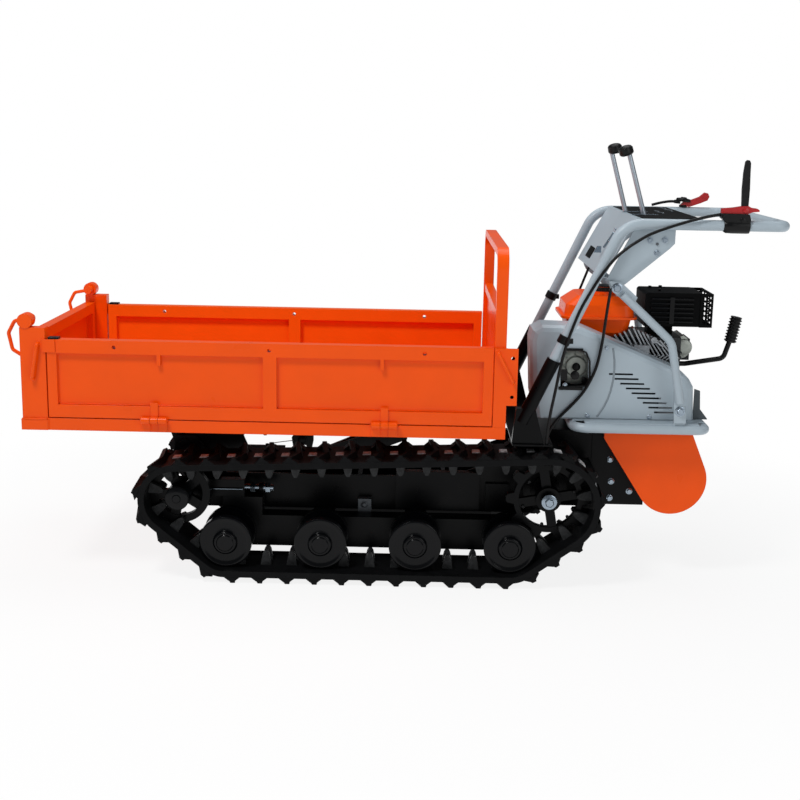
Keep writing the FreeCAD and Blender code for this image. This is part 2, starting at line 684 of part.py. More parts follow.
def rear_post():
    """Rear corner post with the bolting flange behind it."""
    z1 = FLANGE_Z0 + 151.0
    y0 = BED_HALF - 9
    post = box(REAR_POST_X0, BED_X1, y0, BED_HALF, BED_Z0 + FRAME_H, z1)
    flange = box(BED_X1 - 2, FLANGE_X1, BED_HALF - FLANGE_T, BED_HALF, FLANGE_Z0, z1)
    post = post.fuse(flange)
    for k in (-1, 1):
        post = post.cut(rod_y(FLANGE_HOLE_X, FLANGE_HOLE_Z + k * FLANGE_HOLE_PITCH / 2, HOLE_R,
                              y0 - 10, BED_HALF + 1))
    y1 = BED_HALF - 3
    y2 = BED_HALF + 11
    top = (REAR_POST_X0 + 9, z1 - 11)
    low = (FLANGE_HOLE_X + 2, FLANGE_HOLE_Z - 12)
    latch = bent_rod([(top[0], y1, top[1]), (top[0], y2, top[1]), (low[0], y2, low[1]),
                      (low[0], y1, low[1])], 6.0, 4.5)
    return join([post, latch])


AXIS = V(EYE_X - BARREL_X, 0, EYE_Z - BARREL_Z)
CYL_LENGTH = AXIS.Length
BARREL_END = CYL_LENGTH - 62.0
BORE_START = 46.0


def along(t):
    """A point on the cylinder's axis, t from its foot."""
    p = V(BARREL_X, 0, BARREL_Z) + AXIS * (t / CYL_LENGTH)
    return (p.x, p.y, p.z)


def lift_barrel():
    """Lift cylinder's barrel with its foot eye; hollow, so the rod runs in it."""
    tube = rod(along(36), along(BARREL_END), CYL_R)
    gland = rod(along(BARREL_END - 16), along(BARREL_END + 6), CYL_R + 4)
    foot = rod_y(BARREL_X, BARREL_Z, EYE_R, -EYE_W / 2, EYE_W / 2)
    neck = rod(along(8), along(40), EYE_W / 2)
    body = join([tube, gland, foot, neck])
    body = body.cut(rod(along(BORE_START), along(CYL_LENGTH), ROD_R + 0.4))
    return body.cut(rod_y(BARREL_X, BARREL_Z, 10.0, -40, 40))


def lift_rod():
    """Lift cylinder's rod with its eye."""
    bar = rod(along(BORE_START + 2), along(CYL_LENGTH - 10), ROD_R)
    eye = rod_y(EYE_X, EYE_Z, EYE_R, -EYE_W / 2, EYE_W / 2)
    return join([bar, eye]).cut(rod_y(EYE_X, EYE_Z, 10.0, -40, 40))


def handle():
    """One tube: near stem, elbow, push bar, cross run at the rear and the same back."""
    y = HANDLE_Y
    x1 = X_REAR - TUBE_R
    side = [(STEM_MID_X - 6, STEM_MID_Z - 13), (ELBOW_X, HANDLE_Z)]
    points = ([(x, -y, z) for x, z in side] + [(x1, -y, HANDLE_Z), (x1, y, HANDLE_Z)]
              + [(x, y, z) for x, z in reversed(side)])
    return bent_rod(points, [ELBOW_BEND, CORNER_BEND, CORNER_BEND, ELBOW_BEND], TUBE_R)


def stem_socket():
    """Black lower stem that holds the handle, with its foot on the cross beam."""
    y = HANDLE_Y
    tube = rod((STEM_FOOT_X, y, STEM_FOOT_Z), (STEM_MID_X + 2, y, STEM_MID_Z + 5), SOCKET_R)
    low = plate_xz([(STEM_FOOT_X - 26, DECK_Z), (STEM_FOOT_X + 60, DECK_Z),
                    (STEM_FOOT_X + 34, DECK_Z + 96), (STEM_FOOT_X - 16, DECK_Z + 96)],
                   y - 12, y + 12)
    bore = rod((STEM_MID_X - 7, y, STEM_MID_Z - 15.2), (ELBOW_X, y, HANDLE_Z), TUBE_R + SEAT)
    return join([tube, low]).cut(bore)


def cross_beam():
    """Rear cross beam of the chassis, with the two rails that carry the engine's tray."""
    z0 = REAR_Z1 + SEAT
    top = TRAY_TOP - TRAY_T - SEAT
    parts = [box(STEM_FOOT_X - 24, 430, -HANDLE_Y - 20, HANDLE_Y + 20, z0, DECK_Z - SEAT),
             box(420, CHASSIS_X1, -CHASSIS_HALF, CHASSIS_HALF, z0, DECK_Z - SEAT)]
    for s in (-1, 1):
        parts.append(plate_xz([(BASE_X0 + 14, z0), (CHASSIS_X1 - 1, z0), (CHASSIS_X1 - 1, DECK_Z),
                               (700, DECK_Z), (700, top), (BASE_X0 + 14, top)],
                              s * RAIL_Y - 5, s * RAIL_Y + 5))
    return join(parts)


def console():
    """Folded sheet between the gussets: front panel, top with the levers' slots, rear lip."""
    y = GUSSET_Y - GUSSET_T - SEAT
    t = CONSOLE_T
    foot_x = CONSOLE_X0 - 83
    foot_z = CONSOLE_TOP - 156.5
    sheet = plate_xz([(foot_x, foot_z), (CONSOLE_X0, CONSOLE_TOP), (CONSOLE_X1, CONSOLE_TOP),
                      (CONSOLE_X1, CONSOLE_TOP - 24), (CONSOLE_X1 - t, CONSOLE_TOP - 24),
                      (CONSOLE_X1 - t, CONSOLE_TOP - t), (CONSOLE_X0 + 1.8, CONSOLE_TOP - t),
                      (foot_x + 5, foot_z + t), (foot_x + 26, foot_z + t), (foot_x + 26, foot_z)],
                     -y, y)
    for x, yc in LEVER_SLOTS:
        sheet = sheet.cut(box(x - SLOT_L / 2, x + SLOT_L / 2, yc - SLOT_W / 2, yc + SLOT_W / 2,
                              CONSOLE_TOP - t - 1, CONSOLE_TOP + 1))
    port = box(foot_x - 5, foot_x + 50, PORT_Y - PORT_W / 2, PORT_Y + PORT_W / 2,
               PORT_Z - PORT_H / 2, PORT_Z + PORT_H / 2)
    return sheet.cut(port)


def gusset():
    """Side plate under the handle's elbow."""
    return plate_xz([(ELBOW_X + 36, 983), (ELBOW_X + 136, 983), (ELBOW_X + 136, 934),
                     (ELBOW_X + 124, 921), (ELBOW_X + 12, 825), (ELBOW_X - 26, 814),
                     (ELBOW_X - 35, 840)], GUSSET_Y - GUSSET_T, GUSSET_Y)


def strut():
    """Brace from the gusset down to the base tube, flattened at both bolts."""
    r = 11.0
    y0 = GUSSET_Y + SEAT
    x = ELBOW_X
    tube = bent_rod([(x + 6, y0 + r, 799), (x + 141, y0 + r, 676), (x + 173, y0 + r, 512)], 50.0, r)
    head = plate_xz([(x - 32, 834), (x, 832), (x + 46, 792), (x + 34, 768), (x - 10, 797)],
                    y0, y0 + 7)
    foot = plate_xz([(x + 156, 540), (x + 180, 545), (x + 193, 478), (x + 193, 456),
                     (x + 162, 456)], y0, y0 + 7)
    return join([tube, head, foot])


def base_frame():
    """Round-tube loop under the engine with its tray and the struts' tabs."""
    y = BASE_Y
    half = bent_rod([(BASE_X0, 0, BASE_Z), (BASE_X0, y, BASE_Z), (BASE_X1, y, BASE_Z),
                     (BASE_X1, 0, BASE_Z)], [40.0, 26.0], BASE_R)
    parts = [half, mirrored(half)]
    parts.append(box(BASE_X0 + 30, BASE_X1 - 20, -y, y, TRAY_TOP - TRAY_T, TRAY_TOP))
    parts.append(box(BASE_X0, BASE_X1, 34 - y, y - 34, TRAY_TOP - TRAY_T, TRAY_TOP))
    for s in (-1, 1):
        y0 = GUSSET_Y - 6
        parts.append(box(ELBOW_X + 162, ELBOW_X + 193, min(s * y0, s * GUSSET_Y), max(s * y0, s * GUSSET_Y),
                         BASE_Z, BASE_Z + 64))
    return join(parts)


def engine():
    """Engine block at its real size, with the cylinder's fins and the valve cover."""
    top = ENGINE_TOP
    parts = [box(440, 740, -120, 150, TRAY_TOP + SEAT, top - 56.7),
             box(600, 800, -80, 110, top - 96.7, top),
             box(798, 832, -44, 44, top - 68.7, top - 8.7)]
    field = box(636, 800, -101, -79, top - 52.7, top - 6)
    for k in range(FIN_COUNT):
        fin = box(-90, 90, -100, -79, -FIN_T / 2, FIN_T / 2)
        fin.rotate(V(0, 0, 0), V(0, 1, 0), 48)
        fin.translate(V(FIN_X0 + k * FIN_PITCH, 0, top - 32.7))
        parts.append(fin.common(field))
    return join(parts)


def tank():
    """Fuel tank: two drawn shells meeting in a flanged seam, with a filler cap."""
    def ring(x0, x1, y0, y1, z, r):
        pts = [V(x0, y0, z), V(x1, y0, z), V(x1, y1, z), V(x0, y1, z)]
        edges = []
        for i in range(4):
            a, b, c = pts[i - 1], pts[i], pts[(i + 1) % 4]
            u = (a - b).normalize()
            w = (c - b).normalize()
            mid = b + (u + w) * (r * (1 - math.sqrt(0.5)))
            edges.append(Part.Arc(b + u * r, mid, b + w * r).toShape())
            d = pts[(i + 1) % 4]
            edges.append(Part.makeLine(b + w * r, d + (b - d).normalize() * r))
        return Part.Wire(edges)
    rows = ((469, 664, -112, 92, TANK_SEAM, 30), (473, 660, -108, 88, TANK_SEAM + 35.2, 30),
            (506, 640, -90, 70, TANK_SEAM + 59.2, 22))
    upper = Part.makeLoft([ring(*row) for row in rows], True, True)
    lower = Part.makeLoft([ring(*row) for row in ((475, 658, -106, 86, TANK_SEAM + 1, 30),
                                                  (483, 650, -98, 78, ENGINE_TOP + 13, 30),
                                                  (497, 638, -86, 66, ENGINE_TOP + SEAT, 22))],
                          True, True)
    lip = Part.Face(ring(461, 672, -118, 98, TANK_SEAM - 3, 34)).extrude(V(0, 0, 7))
    neck = TANK_SEAM + 54.2
    cap = rod((CAP_X, -10, neck), (CAP_X, -10, neck + 26), 33)
    rim = rod((CAP_X, -10, neck), (CAP_X, -10, neck + 12), 38)
    return join([lower, upper, lip, cap, rim])


def muffler():
    """Muffler guard beside the tank, its rear end an open slotted cage."""
    z0 = MUFFLER_Z0
    body = box(688, 846, -110, 40, z0, z0 + 93)
    body = body.makeFillet(8.0, [e for e in body.Edges if abs(e.BoundBox.YLength - 150) < 1
                                 and e.CenterOfMass.z > z0 + 88])
    cage = box(840, 875, -112, 42, z0 - 1, z0 + 92)
    cage = cage.cut(box(842, 872.5, -109.5, 39.5, z0 + 1.5, z0 + 89.5))
    for y in (-100, -30):
        cage = cage.cut(box(847, 868, y, y + 60, z0 + 88, z0 + 98))
    for k in range(6):
        z = z0 + 7 + k * 13.6
        cage = cage.cut(box(847, 856, -120, 50, z, z + 9))
        cage = cage.cut(box(860, 869, -120, 50, z, z + 9))
        for y in (-100, -65, -30, 5):
            cage = cage.cut(box(870, 880, y, y + 27, z, z + 9))
    stem = box(715, 785, -20, 30, ENGINE_TOP + SEAT, z0 + 2)
    return join([body, cage, stem])


def inset(points, d):
    """The same outline moved inward by d; its corners run clockwise."""
    out = []
    n = len(points)
    for i in range(n):
        lines = []
        for a, b in ((points[i - 1], points[i]), (points[i], points[(i + 1) % n])):
            run = math.hypot(b[0] - a[0], b[1] - a[1])
            nx = (b[1] - a[1]) / run
            nz = -(b[0] - a[0]) / run
            lines.append((nx, nz, nx * a[0] + nz * a[1] + d))
        (a1, b1, c1), (a2, b2, c2) = lines
        det = a1 * b2 - a2 * b1
        out.append(((c1 * b2 - c2 * b1) / det, (a1 * c2 - a2 * c1) / det))
    return out


def cover_form(t):
    """The cover's outer form, or with t what lies inside its sheet."""
    low = TRAY_TOP - 40
    outline = [(394, low), (374, 515), (366, 665), (372, 692), (397, 706), (497, 704),
               (584, 668), (738, 603), (762, 594), (785, 580), (800, 565), (812, 544),
               (820, low)]
    rings = []
    for y, d in ((COVER_Y, 17.0), (COVER_Y + 5, 7.0), (COVER_Y + 16, 0.0), (COVER_BACK, 0.0)):
        ring = [V(x, y + t, z) for x, z in inset(outline, d + t)]
        rings.append(Part.makePolygon(ring + [ring[0]]))
    return Part.makeLoft(rings, True, True)


def side_cover():
    """Grey cover on the near side of the engine: rounded shoulder, louvres and a window."""
    shell = cover_form(0.0).cut(cover_form(COVER_T))
    shell = shell.cut(box(300, 900, COVER_Y - 50, COVER_BACK + 50, 300, TRAY_TOP + SEAT))
    for k in range(LOUVRE_COUNT):
        x = LOUVRE_X + k * LOUVRE_STEP_X
        z = LOUVRE_Z - k * LOUVRE_STEP_Z
        shell = shell.cut(box(x, x + LOUVRE_L, COVER_Y - 1, COVER_Y + COVER_T + 1,
                              z - LOUVRE_H / 2, z + LOUVRE_H / 2))
    window = plate_xz(WINDOW, COVER_Y - 1, COVER_Y + COVER_T + 1)
    return shell.cut(window)


def end_plate():
    """Black end plate behind the cover, standing on the tray."""
    low = TRAY_TOP + SEAT
    return plate_xz([(819, 536), (834, 531), (837, 481), (858, low + 2), (858, low), (819, low)],
                    -205, -199)


def rear_guard():
    """Guard plate hanging below the base, round at the bottom."""
    def on(degrees):
        a = math.radians(degrees)
        return V(GUARD_X + GUARD_R * math.cos(a), GUARD_Y, GUARD_Z + GUARD_R * math.sin(a))
    top = BASE_Z - BASE_R - SEAT
    corners = [on(-143), V(579, GUARD_Y, 396), V(579, GUARD_Y, top), V(815, GUARD_Y, top), on(20)]
    edges = [Part.Arc(on(20), on(-60), on(-143)).toShape()]
    for a, b in zip(corners, corners[1:]):
        edges.append(Part.makeLine(a, b))
    return Part.Face(Part.Wire(edges)).extrude(V(0, 8, 0))


def drive_box():
    """Gearbox case between the tracks, behind the rear guard."""
    return box(CHASSIS_X1 + SEAT, 712, -120, 120, REAR_Z0 + 7, DECK_Z - SEAT)


def guard_bracket():
    """Cross bar that carries the rear guard from the gearbox."""
    return box(640, 690, -209.7, -120.3, 380, 394)


def lever(x0, z0, x1, z1, y):
    """Drive lever through its slot: foot below the panel, rod and round head."""
    foot_top = CONSOLE_TOP - CONSOLE_T - SEAT
    t = (foot_top - 2 - z0) / (z1 - z0)
    x = x0 + (x1 - x0) * t
    bar = rod((x, y, foot_top - 2), (x1, y, z1), LEVER_R)
    foot = box(x - 6, x + 48, y - 22, y + 22, foot_top - 4, foot_top)
    up = V(x1 - x, 0, z1 - foot_top).normalize() * KNOB_HEAD_L
    head = Part.makeCylinder(KNOB_HEAD_R, KNOB_HEAD_L, V(x1, y, z1) - up * 0.5, up)
    head = head.makeFillet(9.0, [e for e in head.Edges if isinstance(e.Curve, Part.Circle)])
    return join([bar, foot, head])


def control_cables():
    """Clutch cable and two more, held at the controls and down at the machine."""
    y = -HANDLE_Y
    deck = DECK_Z + SEAT
    clutch_run = [(X_REAR - 185.2, y - 3, 1012.5), (797, y - 14, 1006), (755.6, y - 21, 995.5),
                  (705.4, y - 21, 979.2), (655.3, y - 21, 960.3), (605.7, y - 21, 928.6),
                  (568.8, y - 21, 897), (532.7, y - 21, 847.1), (508.9, y - 21, 805),
                  (485.1, y - 21, 760), (466.7, y - 21, 708), (451, y - 21, 658),
                  (440, y - 22, 606), (431, y - 22, 547), (420, y - 20, 484),
                  (415, y - 14, 430), (414, y - 12, deck)]
    drive_run = [(568.5, y + 18, 813.4), (566.5, y + 34, 776), (563, y + 46, 725), (557.2, y + 49, 657.3),
                 (544.6, y + 49, 589), (515.3, y + 49, 528), (479.5, y + 49, 485.8),
                 (448.5, y + 49, 454), (428, y + 49, 424), (421, y + 49, deck + SEAT * 2)]
    throttle_run = [(X_REAR - 175.9, -y, 1012), (820, -y, 1015), (790, -y, 1010.5),
                    (761, -y, HANDLE_Z + TUBE_R + 4.6)]
    return Part.makeCompound([cable("clutch cable", clutch_run, 4.0),
                              cable("drive cable", drive_run, 4.0),
                              cable("throttle cable", throttle_run, 4.0)])


def throttle():
    """Throttle on the far push bar: saddle, pivot and flat lever."""
    x = X_REAR - 161.5
    z = HANDLE_Z + TUBE_R + SEAT
    y = HANDLE_Y
    arm = plate_xz([(x, z + 8), (x + 66, z + 32), (x + 66, z + 40), (x, z + 17)], y - 6, y + 6)
    return join([box(x - 16, x + 16, y - 12, y + 12, z, z + 6),
                 rod((x, y, z + 4), (x, y, z + 20), 14), arm])


def clutch():
    """Clutch lever on the near push bar: split sleeve, bracket cheeks and lever."""
    y = -HANDLE_Y
    x0 = X_REAR - 180.0
    sleeve = rod((x0, y, HANDLE_Z), (x0 + 72, y, HANDLE_Z), TUBE_R + 6)
    sleeve = sleeve.cut(rod((x0 - 1, y, HANDLE_Z), (x0 + 73, y, HANDLE_Z), TUBE_R + SEAT))
    cheeks = plate_xz([(x0 - 4, 1003), (x0 + 68, 1001), (x0 + 93, 1016), (x0 + 93, 1028),
                       (x0 + 60, 1034), (x0 - 4, 1026)], y - 10, y + 10)
    arm = plate_xz([(x0 + 46, 1016), (x0 + 68, 1016), (x0 + 66, 1146), (x0 + 57, 1152),
                    (x0 + 48, 1146)], y - 4, y + 4)
    return join([sleeve, cheeks, arm])


def crank_lever():
    """Shift lever that leans out at the rear with a grip."""
    return join([bent_rod([(800.4, -70, 582), (816, -70, 582), (915, -100, 605),
                           (934, -100, 668)], 20.0, 7.0),
                 rod((930.5, -100, 651), (944, -100, 721), 14)])


SHAPES = {}


def add(name, shape):
    SHAPES[name] = shape


add("bed_floor", bed_frame())
add("bed_brackets", bed_brackets())
for name, shape in (("track", track()), ("sprocket", sprocket()), ("idler", idler()),
                    ("rollers", Part.makeCompound([roller(x) for x in ROLLER_X])),
                    ("side_board", side_board())):
    add(name + "_near", mirrored(shape))
    add(name + "_far", shape)
for name, shape in (("roller_beams", roller_beam()), ("tensioners", tensioner()),
                    ("final_drives", final_drive()), ("front_posts", front_post()),
                    ("rear_posts", rear_post()),
                    ("stem_sockets", stem_socket()), ("gussets", gusset()),
                    ("struts", strut())):
    add(name, Part.makeCompound([mirrored(shape), shape]))
add("chassis", chassis())
add("gate", gate())
add("hoop", hoop())
add("headboard", headboard())
add("lift_barrel", lift_barrel())
add("lift_rod", lift_rod())
add("handle", handle())
add("cross_beam", cross_beam())
add("console", console())
add("base_frame", base_frame())
add("engine", engine())
add("fuel_tank", tank())
add("muffler", muffler())
add("side_cover", side_cover())
add("rear_guard", rear_guard())
add("drive_box", drive_box())
add("guard_bracket", guard_bracket())
add("end_plate", end_plate())
add("drive_levers", Part.makeCompound([lever(ELBOW_X + 41, 1010, ELBOW_X + 7.4, 1171, FAR_LEVER_Y),
                                       lever(ELBOW_X + 76, 991, ELBOW_X + 19.3, 1167.5,
                                             NEAR_LEVER_Y)]))
add("throttle", throttle())
add("clutch", clutch())
add("crank_lever", crank_lever())
add("control_cables", control_cables())

os.makedirs("parts", exist_ok=True)
whole = None
for name, shape in SHAPES.items():
    shape.exportStep("parts/" + name + ".step")
    b = shape.BoundBox
    whole = FreeCAD.BoundBox(b) if whole is None else whole.united(b)
    print(name, len(shape.Solids), shape.isValid(), round(shape.Volume / 1e6, 3),
          [round(v, 1) for v in (b.XMin, b.XMax, b.YMin, b.YMax, b.ZMin, b.ZMax)])
print("whole", [round(v, 1) for v in (whole.XMin, whole.XMax, whole.YMin, whole.YMax,
                                      whole.ZMin, whole.ZMax)], "nodes", len(SHAPES))
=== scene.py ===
import json
import math
import bmesh
import bpy
from mathutils import Matrix, Vector


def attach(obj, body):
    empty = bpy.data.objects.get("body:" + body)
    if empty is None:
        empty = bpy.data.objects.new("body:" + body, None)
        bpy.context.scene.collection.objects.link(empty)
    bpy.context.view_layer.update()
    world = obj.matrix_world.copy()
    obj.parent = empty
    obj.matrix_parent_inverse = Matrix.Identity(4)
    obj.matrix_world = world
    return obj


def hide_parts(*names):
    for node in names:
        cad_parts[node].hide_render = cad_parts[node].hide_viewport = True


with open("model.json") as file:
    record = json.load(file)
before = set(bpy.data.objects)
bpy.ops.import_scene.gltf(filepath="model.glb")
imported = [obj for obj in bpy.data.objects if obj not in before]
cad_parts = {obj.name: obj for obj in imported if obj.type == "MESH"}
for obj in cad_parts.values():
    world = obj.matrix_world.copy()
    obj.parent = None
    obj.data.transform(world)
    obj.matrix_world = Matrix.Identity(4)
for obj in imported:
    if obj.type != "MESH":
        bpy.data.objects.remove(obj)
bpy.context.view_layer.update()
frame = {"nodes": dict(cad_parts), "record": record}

MM = 0.001

# Camera, from the photograph's own perspective
CAMERA_AT = (0.0637, -3.6136, 1.2153)
CAMERA_YAW = 0.0131
CAMERA_PITCH = 0.2100
CAMERA_ROLL = 0.0184
FOCAL_PX = 1275.7
IMAGE_PX = 800.0
SENSOR_MM = 36.0

# Two faces that meet at more than this angle, in radians, keep a sharp edge
SHARP_ANGLE = 0.6

# Running gear in millimetres: X, Z and the radius of the track's outer face there
IDLER = (-578, 226, 100)
FRONT_ROLLER = (-448, 105, 89)
BACK_ROLLER = (326, 105, 89)
SPROCKET = (429, 233, 133)
ROLLER_X = (-448, -190, 68, 326)
LUG_COUNT = 38
BAND = 17

# Places in millimetres that several forms share
HINGE_X = (-624, -19)
STARTER_X = 497
STARTER_Z = 588
CAP_X = 582
CAP_Y = -10
FLOOR_SIZE = 30
FLOOR_Z = -0.0005


def camera():
    cy, sy = math.cos(CAMERA_YAW), math.sin(CAMERA_YAW)
    cp, sp = math.cos(CAMERA_PITCH), math.sin(CAMERA_PITCH)
    right = Vector((cy, sy, 0))
    ahead = Vector((-sy * cp, cy * cp, -sp))
    up = right.cross(ahead)
    c, s = math.cos(CAMERA_ROLL), math.sin(CAMERA_ROLL)
    x = right * c + up * s
    y = up * c - right * s
    data = bpy.data.cameras.new("camera")
    data.sensor_width = SENSOR_MM
    data.lens = SENSOR_MM * FOCAL_PX / IMAGE_PX
    data.clip_end = 60.0
    obj = bpy.data.objects.new("camera", data)
    obj.matrix_world = Matrix((x, y, -ahead)).transposed().to_4x4()
    obj.location = CAMERA_AT
    bpy.context.scene.collection.objects.link(obj)
    bpy.context.scene.camera = obj


def soft_light(name, place, aim, size, watts):
    data = bpy.data.lights.new(name, "AREA")
    data.shape = "DISK"
    data.size = size
    data.energy = watts
    obj = bpy.data.objects.new(name, data)
    obj.location = place
    obj.rotation_euler = (Vector(aim) - Vector(place)).to_track_quat("-Z", "Y").to_euler()
    bpy.context.scene.collection.objects.link(obj)


def studio():
    """White to the camera and to rays that pass through, a softer grey as light."""
    world = bpy.data.worlds.new("studio")
    bpy.context.scene.world = world
    world.use_nodes = True
    t = world.node_tree
    t.nodes.clear()
    out = t.nodes.new("ShaderNodeOutputWorld")
    mix = t.nodes.new("ShaderNodeMixShader")
    seen = t.nodes.new("ShaderNodeBackground")
    seen.inputs["Color"].default_value = (1, 1, 1, 1)
    seen.inputs["Strength"].default_value = 1.0
    light = t.nodes.new("ShaderNodeBackground")
    light.inputs["Color"].default_value = (0.93, 0.96, 1.0, 1)
    light.inputs["Strength"].default_value = 0.2
    path = t.nodes.new("ShaderNodeLightPath")
    either = t.nodes.new("ShaderNodeMath")
    either.operation = "MAXIMUM"
    t.links.new(path.outputs["Is Camera Ray"], either.inputs[0])
    t.links.new(path.outputs["Is Transmission Ray"], either.inputs[1])
    t.links.new(either.outputs[0], mix.inputs[0])
    t.links.new(light.outputs[0], mix.inputs[1])
    t.links.new(seen.outputs[0], mix.inputs[2])
    t.links.new(mix.outputs[0], out.inputs[0])


def surface(name, colour, rough, metal=0.0, coat=0.0, spec=0.3, mottle=0.06, grain=60.0, bump=0.0,
            bump_scale=400.0, edge=0.0012, spread=0.08):
    """A procedural finish: mottled colour and gloss, fine bump and softened edges."""
    m = bpy.data.materials.new(name)
    m.use_nodes = True
    t = m.node_tree
    b = t.nodes["Principled BSDF"]
    b.inputs["Metallic"].default_value = metal
    b.inputs["Coat Weight"].default_value = coat
    b.inputs["Specular IOR Level"].default_value = spec
    b.inputs["Coat Roughness"].default_value = 0.12
    where = t.nodes.new("ShaderNodeTexCoord")
    noise = t.nodes.new("ShaderNodeTexNoise")
    noise.inputs["Scale"].default_value = grain
    noise.inputs["Detail"].default_value = 5.0
    t.links.new(where.outputs["Object"], noise.inputs["Vector"])
    ramp = t.nodes.new("ShaderNodeValToRGB")
    ramp.color_ramp.elements[0].position = 0.3
    ramp.color_ramp.elements[1].position = 0.7
    ramp.color_ramp.elements[0].color = (*[c * (1 - mottle) for c in colour], 1)
    ramp.color_ramp.elements[1].color = (*[min(1.0, c * (1 + mottle)) for c in colour], 1)
    t.links.new(noise.outputs["Fac"], ramp.inputs["Fac"])
    t.links.new(ramp.outputs["Color"], b.inputs["Base Color"])
    gloss = t.nodes.new("ShaderNodeMapRange")
    gloss.inputs["To Min"].default_value = max(0.03, rough - spread)
    gloss.inputs["To Max"].default_value = min(1.0, rough + spread)
    t.links.new(noise.outputs["Fac"], gloss.inputs["Value"])
    t.links.new(gloss.outputs["Result"], b.inputs["Roughness"])
    normal = None
    if edge > 0:
        bevel = t.nodes.new("ShaderNodeBevel")
        bevel.samples = 4
        bevel.inputs["Radius"].default_value = edge
        normal = bevel.outputs["Normal"]
    if bump > 0:
        fine = t.nodes.new("ShaderNodeTexNoise")
        fine.inputs["Scale"].default_value = bump_scale
        fine.inputs["Detail"].default_value = 4.0
        t.links.new(where.outputs["Object"], fine.inputs["Vector"])
        push = t.nodes.new("ShaderNodeBump")
        push.inputs["Strength"].default_value = bump
        push.inputs["Distance"].default_value = 0.001
        t.links.new(fine.outputs["Fac"], push.inputs["Height"])
        if normal:
            t.links.new(normal, push.inputs["Normal"])
        normal = push.outputs["Normal"]
    if normal:
        t.links.new(normal, b.inputs["Normal"])
    return m


def floor_finish():
    """Pale floor that fades into the white backdrop away from the machine."""
    m = bpy.data.materials.new("floor")
    m.use_nodes = True
    t = m.node_tree
    b = t.nodes["Principled BSDF"]
    b.inputs["Base Color"].default_value = (0.93, 0.93, 0.93, 1)
    b.inputs["Roughness"].default_value = 0.8
    where = t.nodes.new("ShaderNodeTexCoord")
    length = t.nodes.new("ShaderNodeVectorMath")
    length.operation = "LENGTH"
    t.links.new(where.outputs["Object"], length.inputs[0])
    fade = t.nodes.new("ShaderNodeMapRange")
    fade.interpolation_type = "SMOOTHSTEP"
    fade.inputs["From Min"].default_value = 0.9
    fade.inputs["From Max"].default_value = 2.0
    fade.inputs["To Min"].default_value = 0.86
    t.links.new(length.outputs["Value"], fade.inputs["Value"])
    white = t.nodes.new("ShaderNodeEmission")
    white.inputs["Color"].default_value = (1, 1, 1, 1)
    mix = t.nodes.new("ShaderNodeMixShader")
    t.links.new(fade.outputs["Result"], mix.inputs[0])
    t.links.new(b.outputs[0], mix.inputs[1])
    t.links.new(white.outputs[0], mix.inputs[2])
    t.links.new(mix.outputs[0], t.nodes["Material Output"].inputs[0])
    return m


FINISH = {
    "orange_paint": dict(colour=(0.87, 0.083, 0.001), rough=0.3, coat=0.05, mottle=0.04, grain=9.0,
                         spec=0.16, edge=0.0022),
    # A lighter copy of the orange paint for the far board: painted light on its inner face, which the lamps
    # leave too dark
    "orange_far_painted_light": dict(colour=(0.93, 0.12, 0.004), rough=0.3, coat=0.05, mottle=0.04, grain=9.0,
                       spec=0.16, edge=0.0022),
    "grey_paint": dict(colour=(0.365, 0.435, 0.485), rough=0.36, coat=0.05, mottle=0.03, grain=12.0),
    "black_paint": dict(colour=(0.0018, 0.002, 0.0024), rough=0.3, mottle=0.2, grain=20.0, bump=0.1,
                        spec=0.11),
    "red_paint": dict(colour=(0.40, 0.006, 0.008), rough=0.35, coat=0.2),
    "track_rubber": dict(colour=(0.0032, 0.0034, 0.0038), rough=0.5, mottle=0.3, grain=35.0, bump=0.35,
                         bump_scale=220.0, edge=0.003, spec=0.09),
    "worn_rubber": dict(colour=(0.022, 0.023, 0.024), rough=0.5, mottle=0.5, grain=80.0, bump=0.3,
                        spec=0.2),
    "shade_grey": dict(colour=(0.07, 0.085, 0.095), rough=0.5, mottle=0.1),
    "gloss_black": dict(colour=(0.0018, 0.002, 0.0026), rough=0.2, mottle=0.2, spec=0.14, coat=0.05),
    "matt_black": dict(colour=(0.0022, 0.0023, 0.0025), rough=0.6, mottle=0.2, spec=0.06),
    "bare_steel": dict(colour=(0.42, 0.46, 0.50), rough=0.3, metal=1.0, mottle=0.08, grain=140.0),
    "chrome_rod": dict(colour=(0.36, 0.41, 0.46), rough=0.34, metal=0.75, mottle=0.05, grain=60.0),
    "aluminium": dict(colour=(0.33, 0.35, 0.37), rough=0.36, metal=0.8, mottle=0.2, grain=90.0, bump=0.2,
                      bump_scale=500.0),
    # Paler and less metallic than the fins' aluminium; on the starter case the extra paleness is partly its
    # own silver and partly painted light against the shade of its window recess
    "pale_alloy_and_painted_light": dict(colour=(0.42, 0.45, 0.41), rough=0.4, metal=0.35, mottle=0.15, bump=0.2),
    # Darker grey of the side cover's seam beads: painted shade in the seam lines
    "painted_seam_shade": dict(colour=(0.22, 0.26, 0.29), rough=0.6, mottle=0.1),
    "black_plastic": dict(colour=(0.0035, 0.0037, 0.004), rough=0.33, spec=0.2, bump=0.12,
                          bump_scale=700.0, edge=0.002),
    "cast_metal": dict(colour=(0.035, 0.037, 0.04), rough=0.5, metal=0.6, mottle=0.25, bump=0.4,
                       bump_scale=260.0),
    "zinc": dict(colour=(0.30, 0.36, 0.42), rough=0.24, metal=1.0, mottle=0.1, grain=180.0,
                 edge=0.0006),
    # Pale, mostly diffuse steel for the track cores: worn metal, with its sheen painted into the colour
    "worn_steel_and_painted_sheen": dict(colour=(0.74, 0.77, 0.80), rough=0.42, metal=0.2, mottle=0.4, grain=90.0,
                       bump=0.3),
    "dull_grey": dict(colour=(0.09, 0.10, 0.11), rough=0.45, metal=0.5, mottle=0.2, bump=0.2),
}
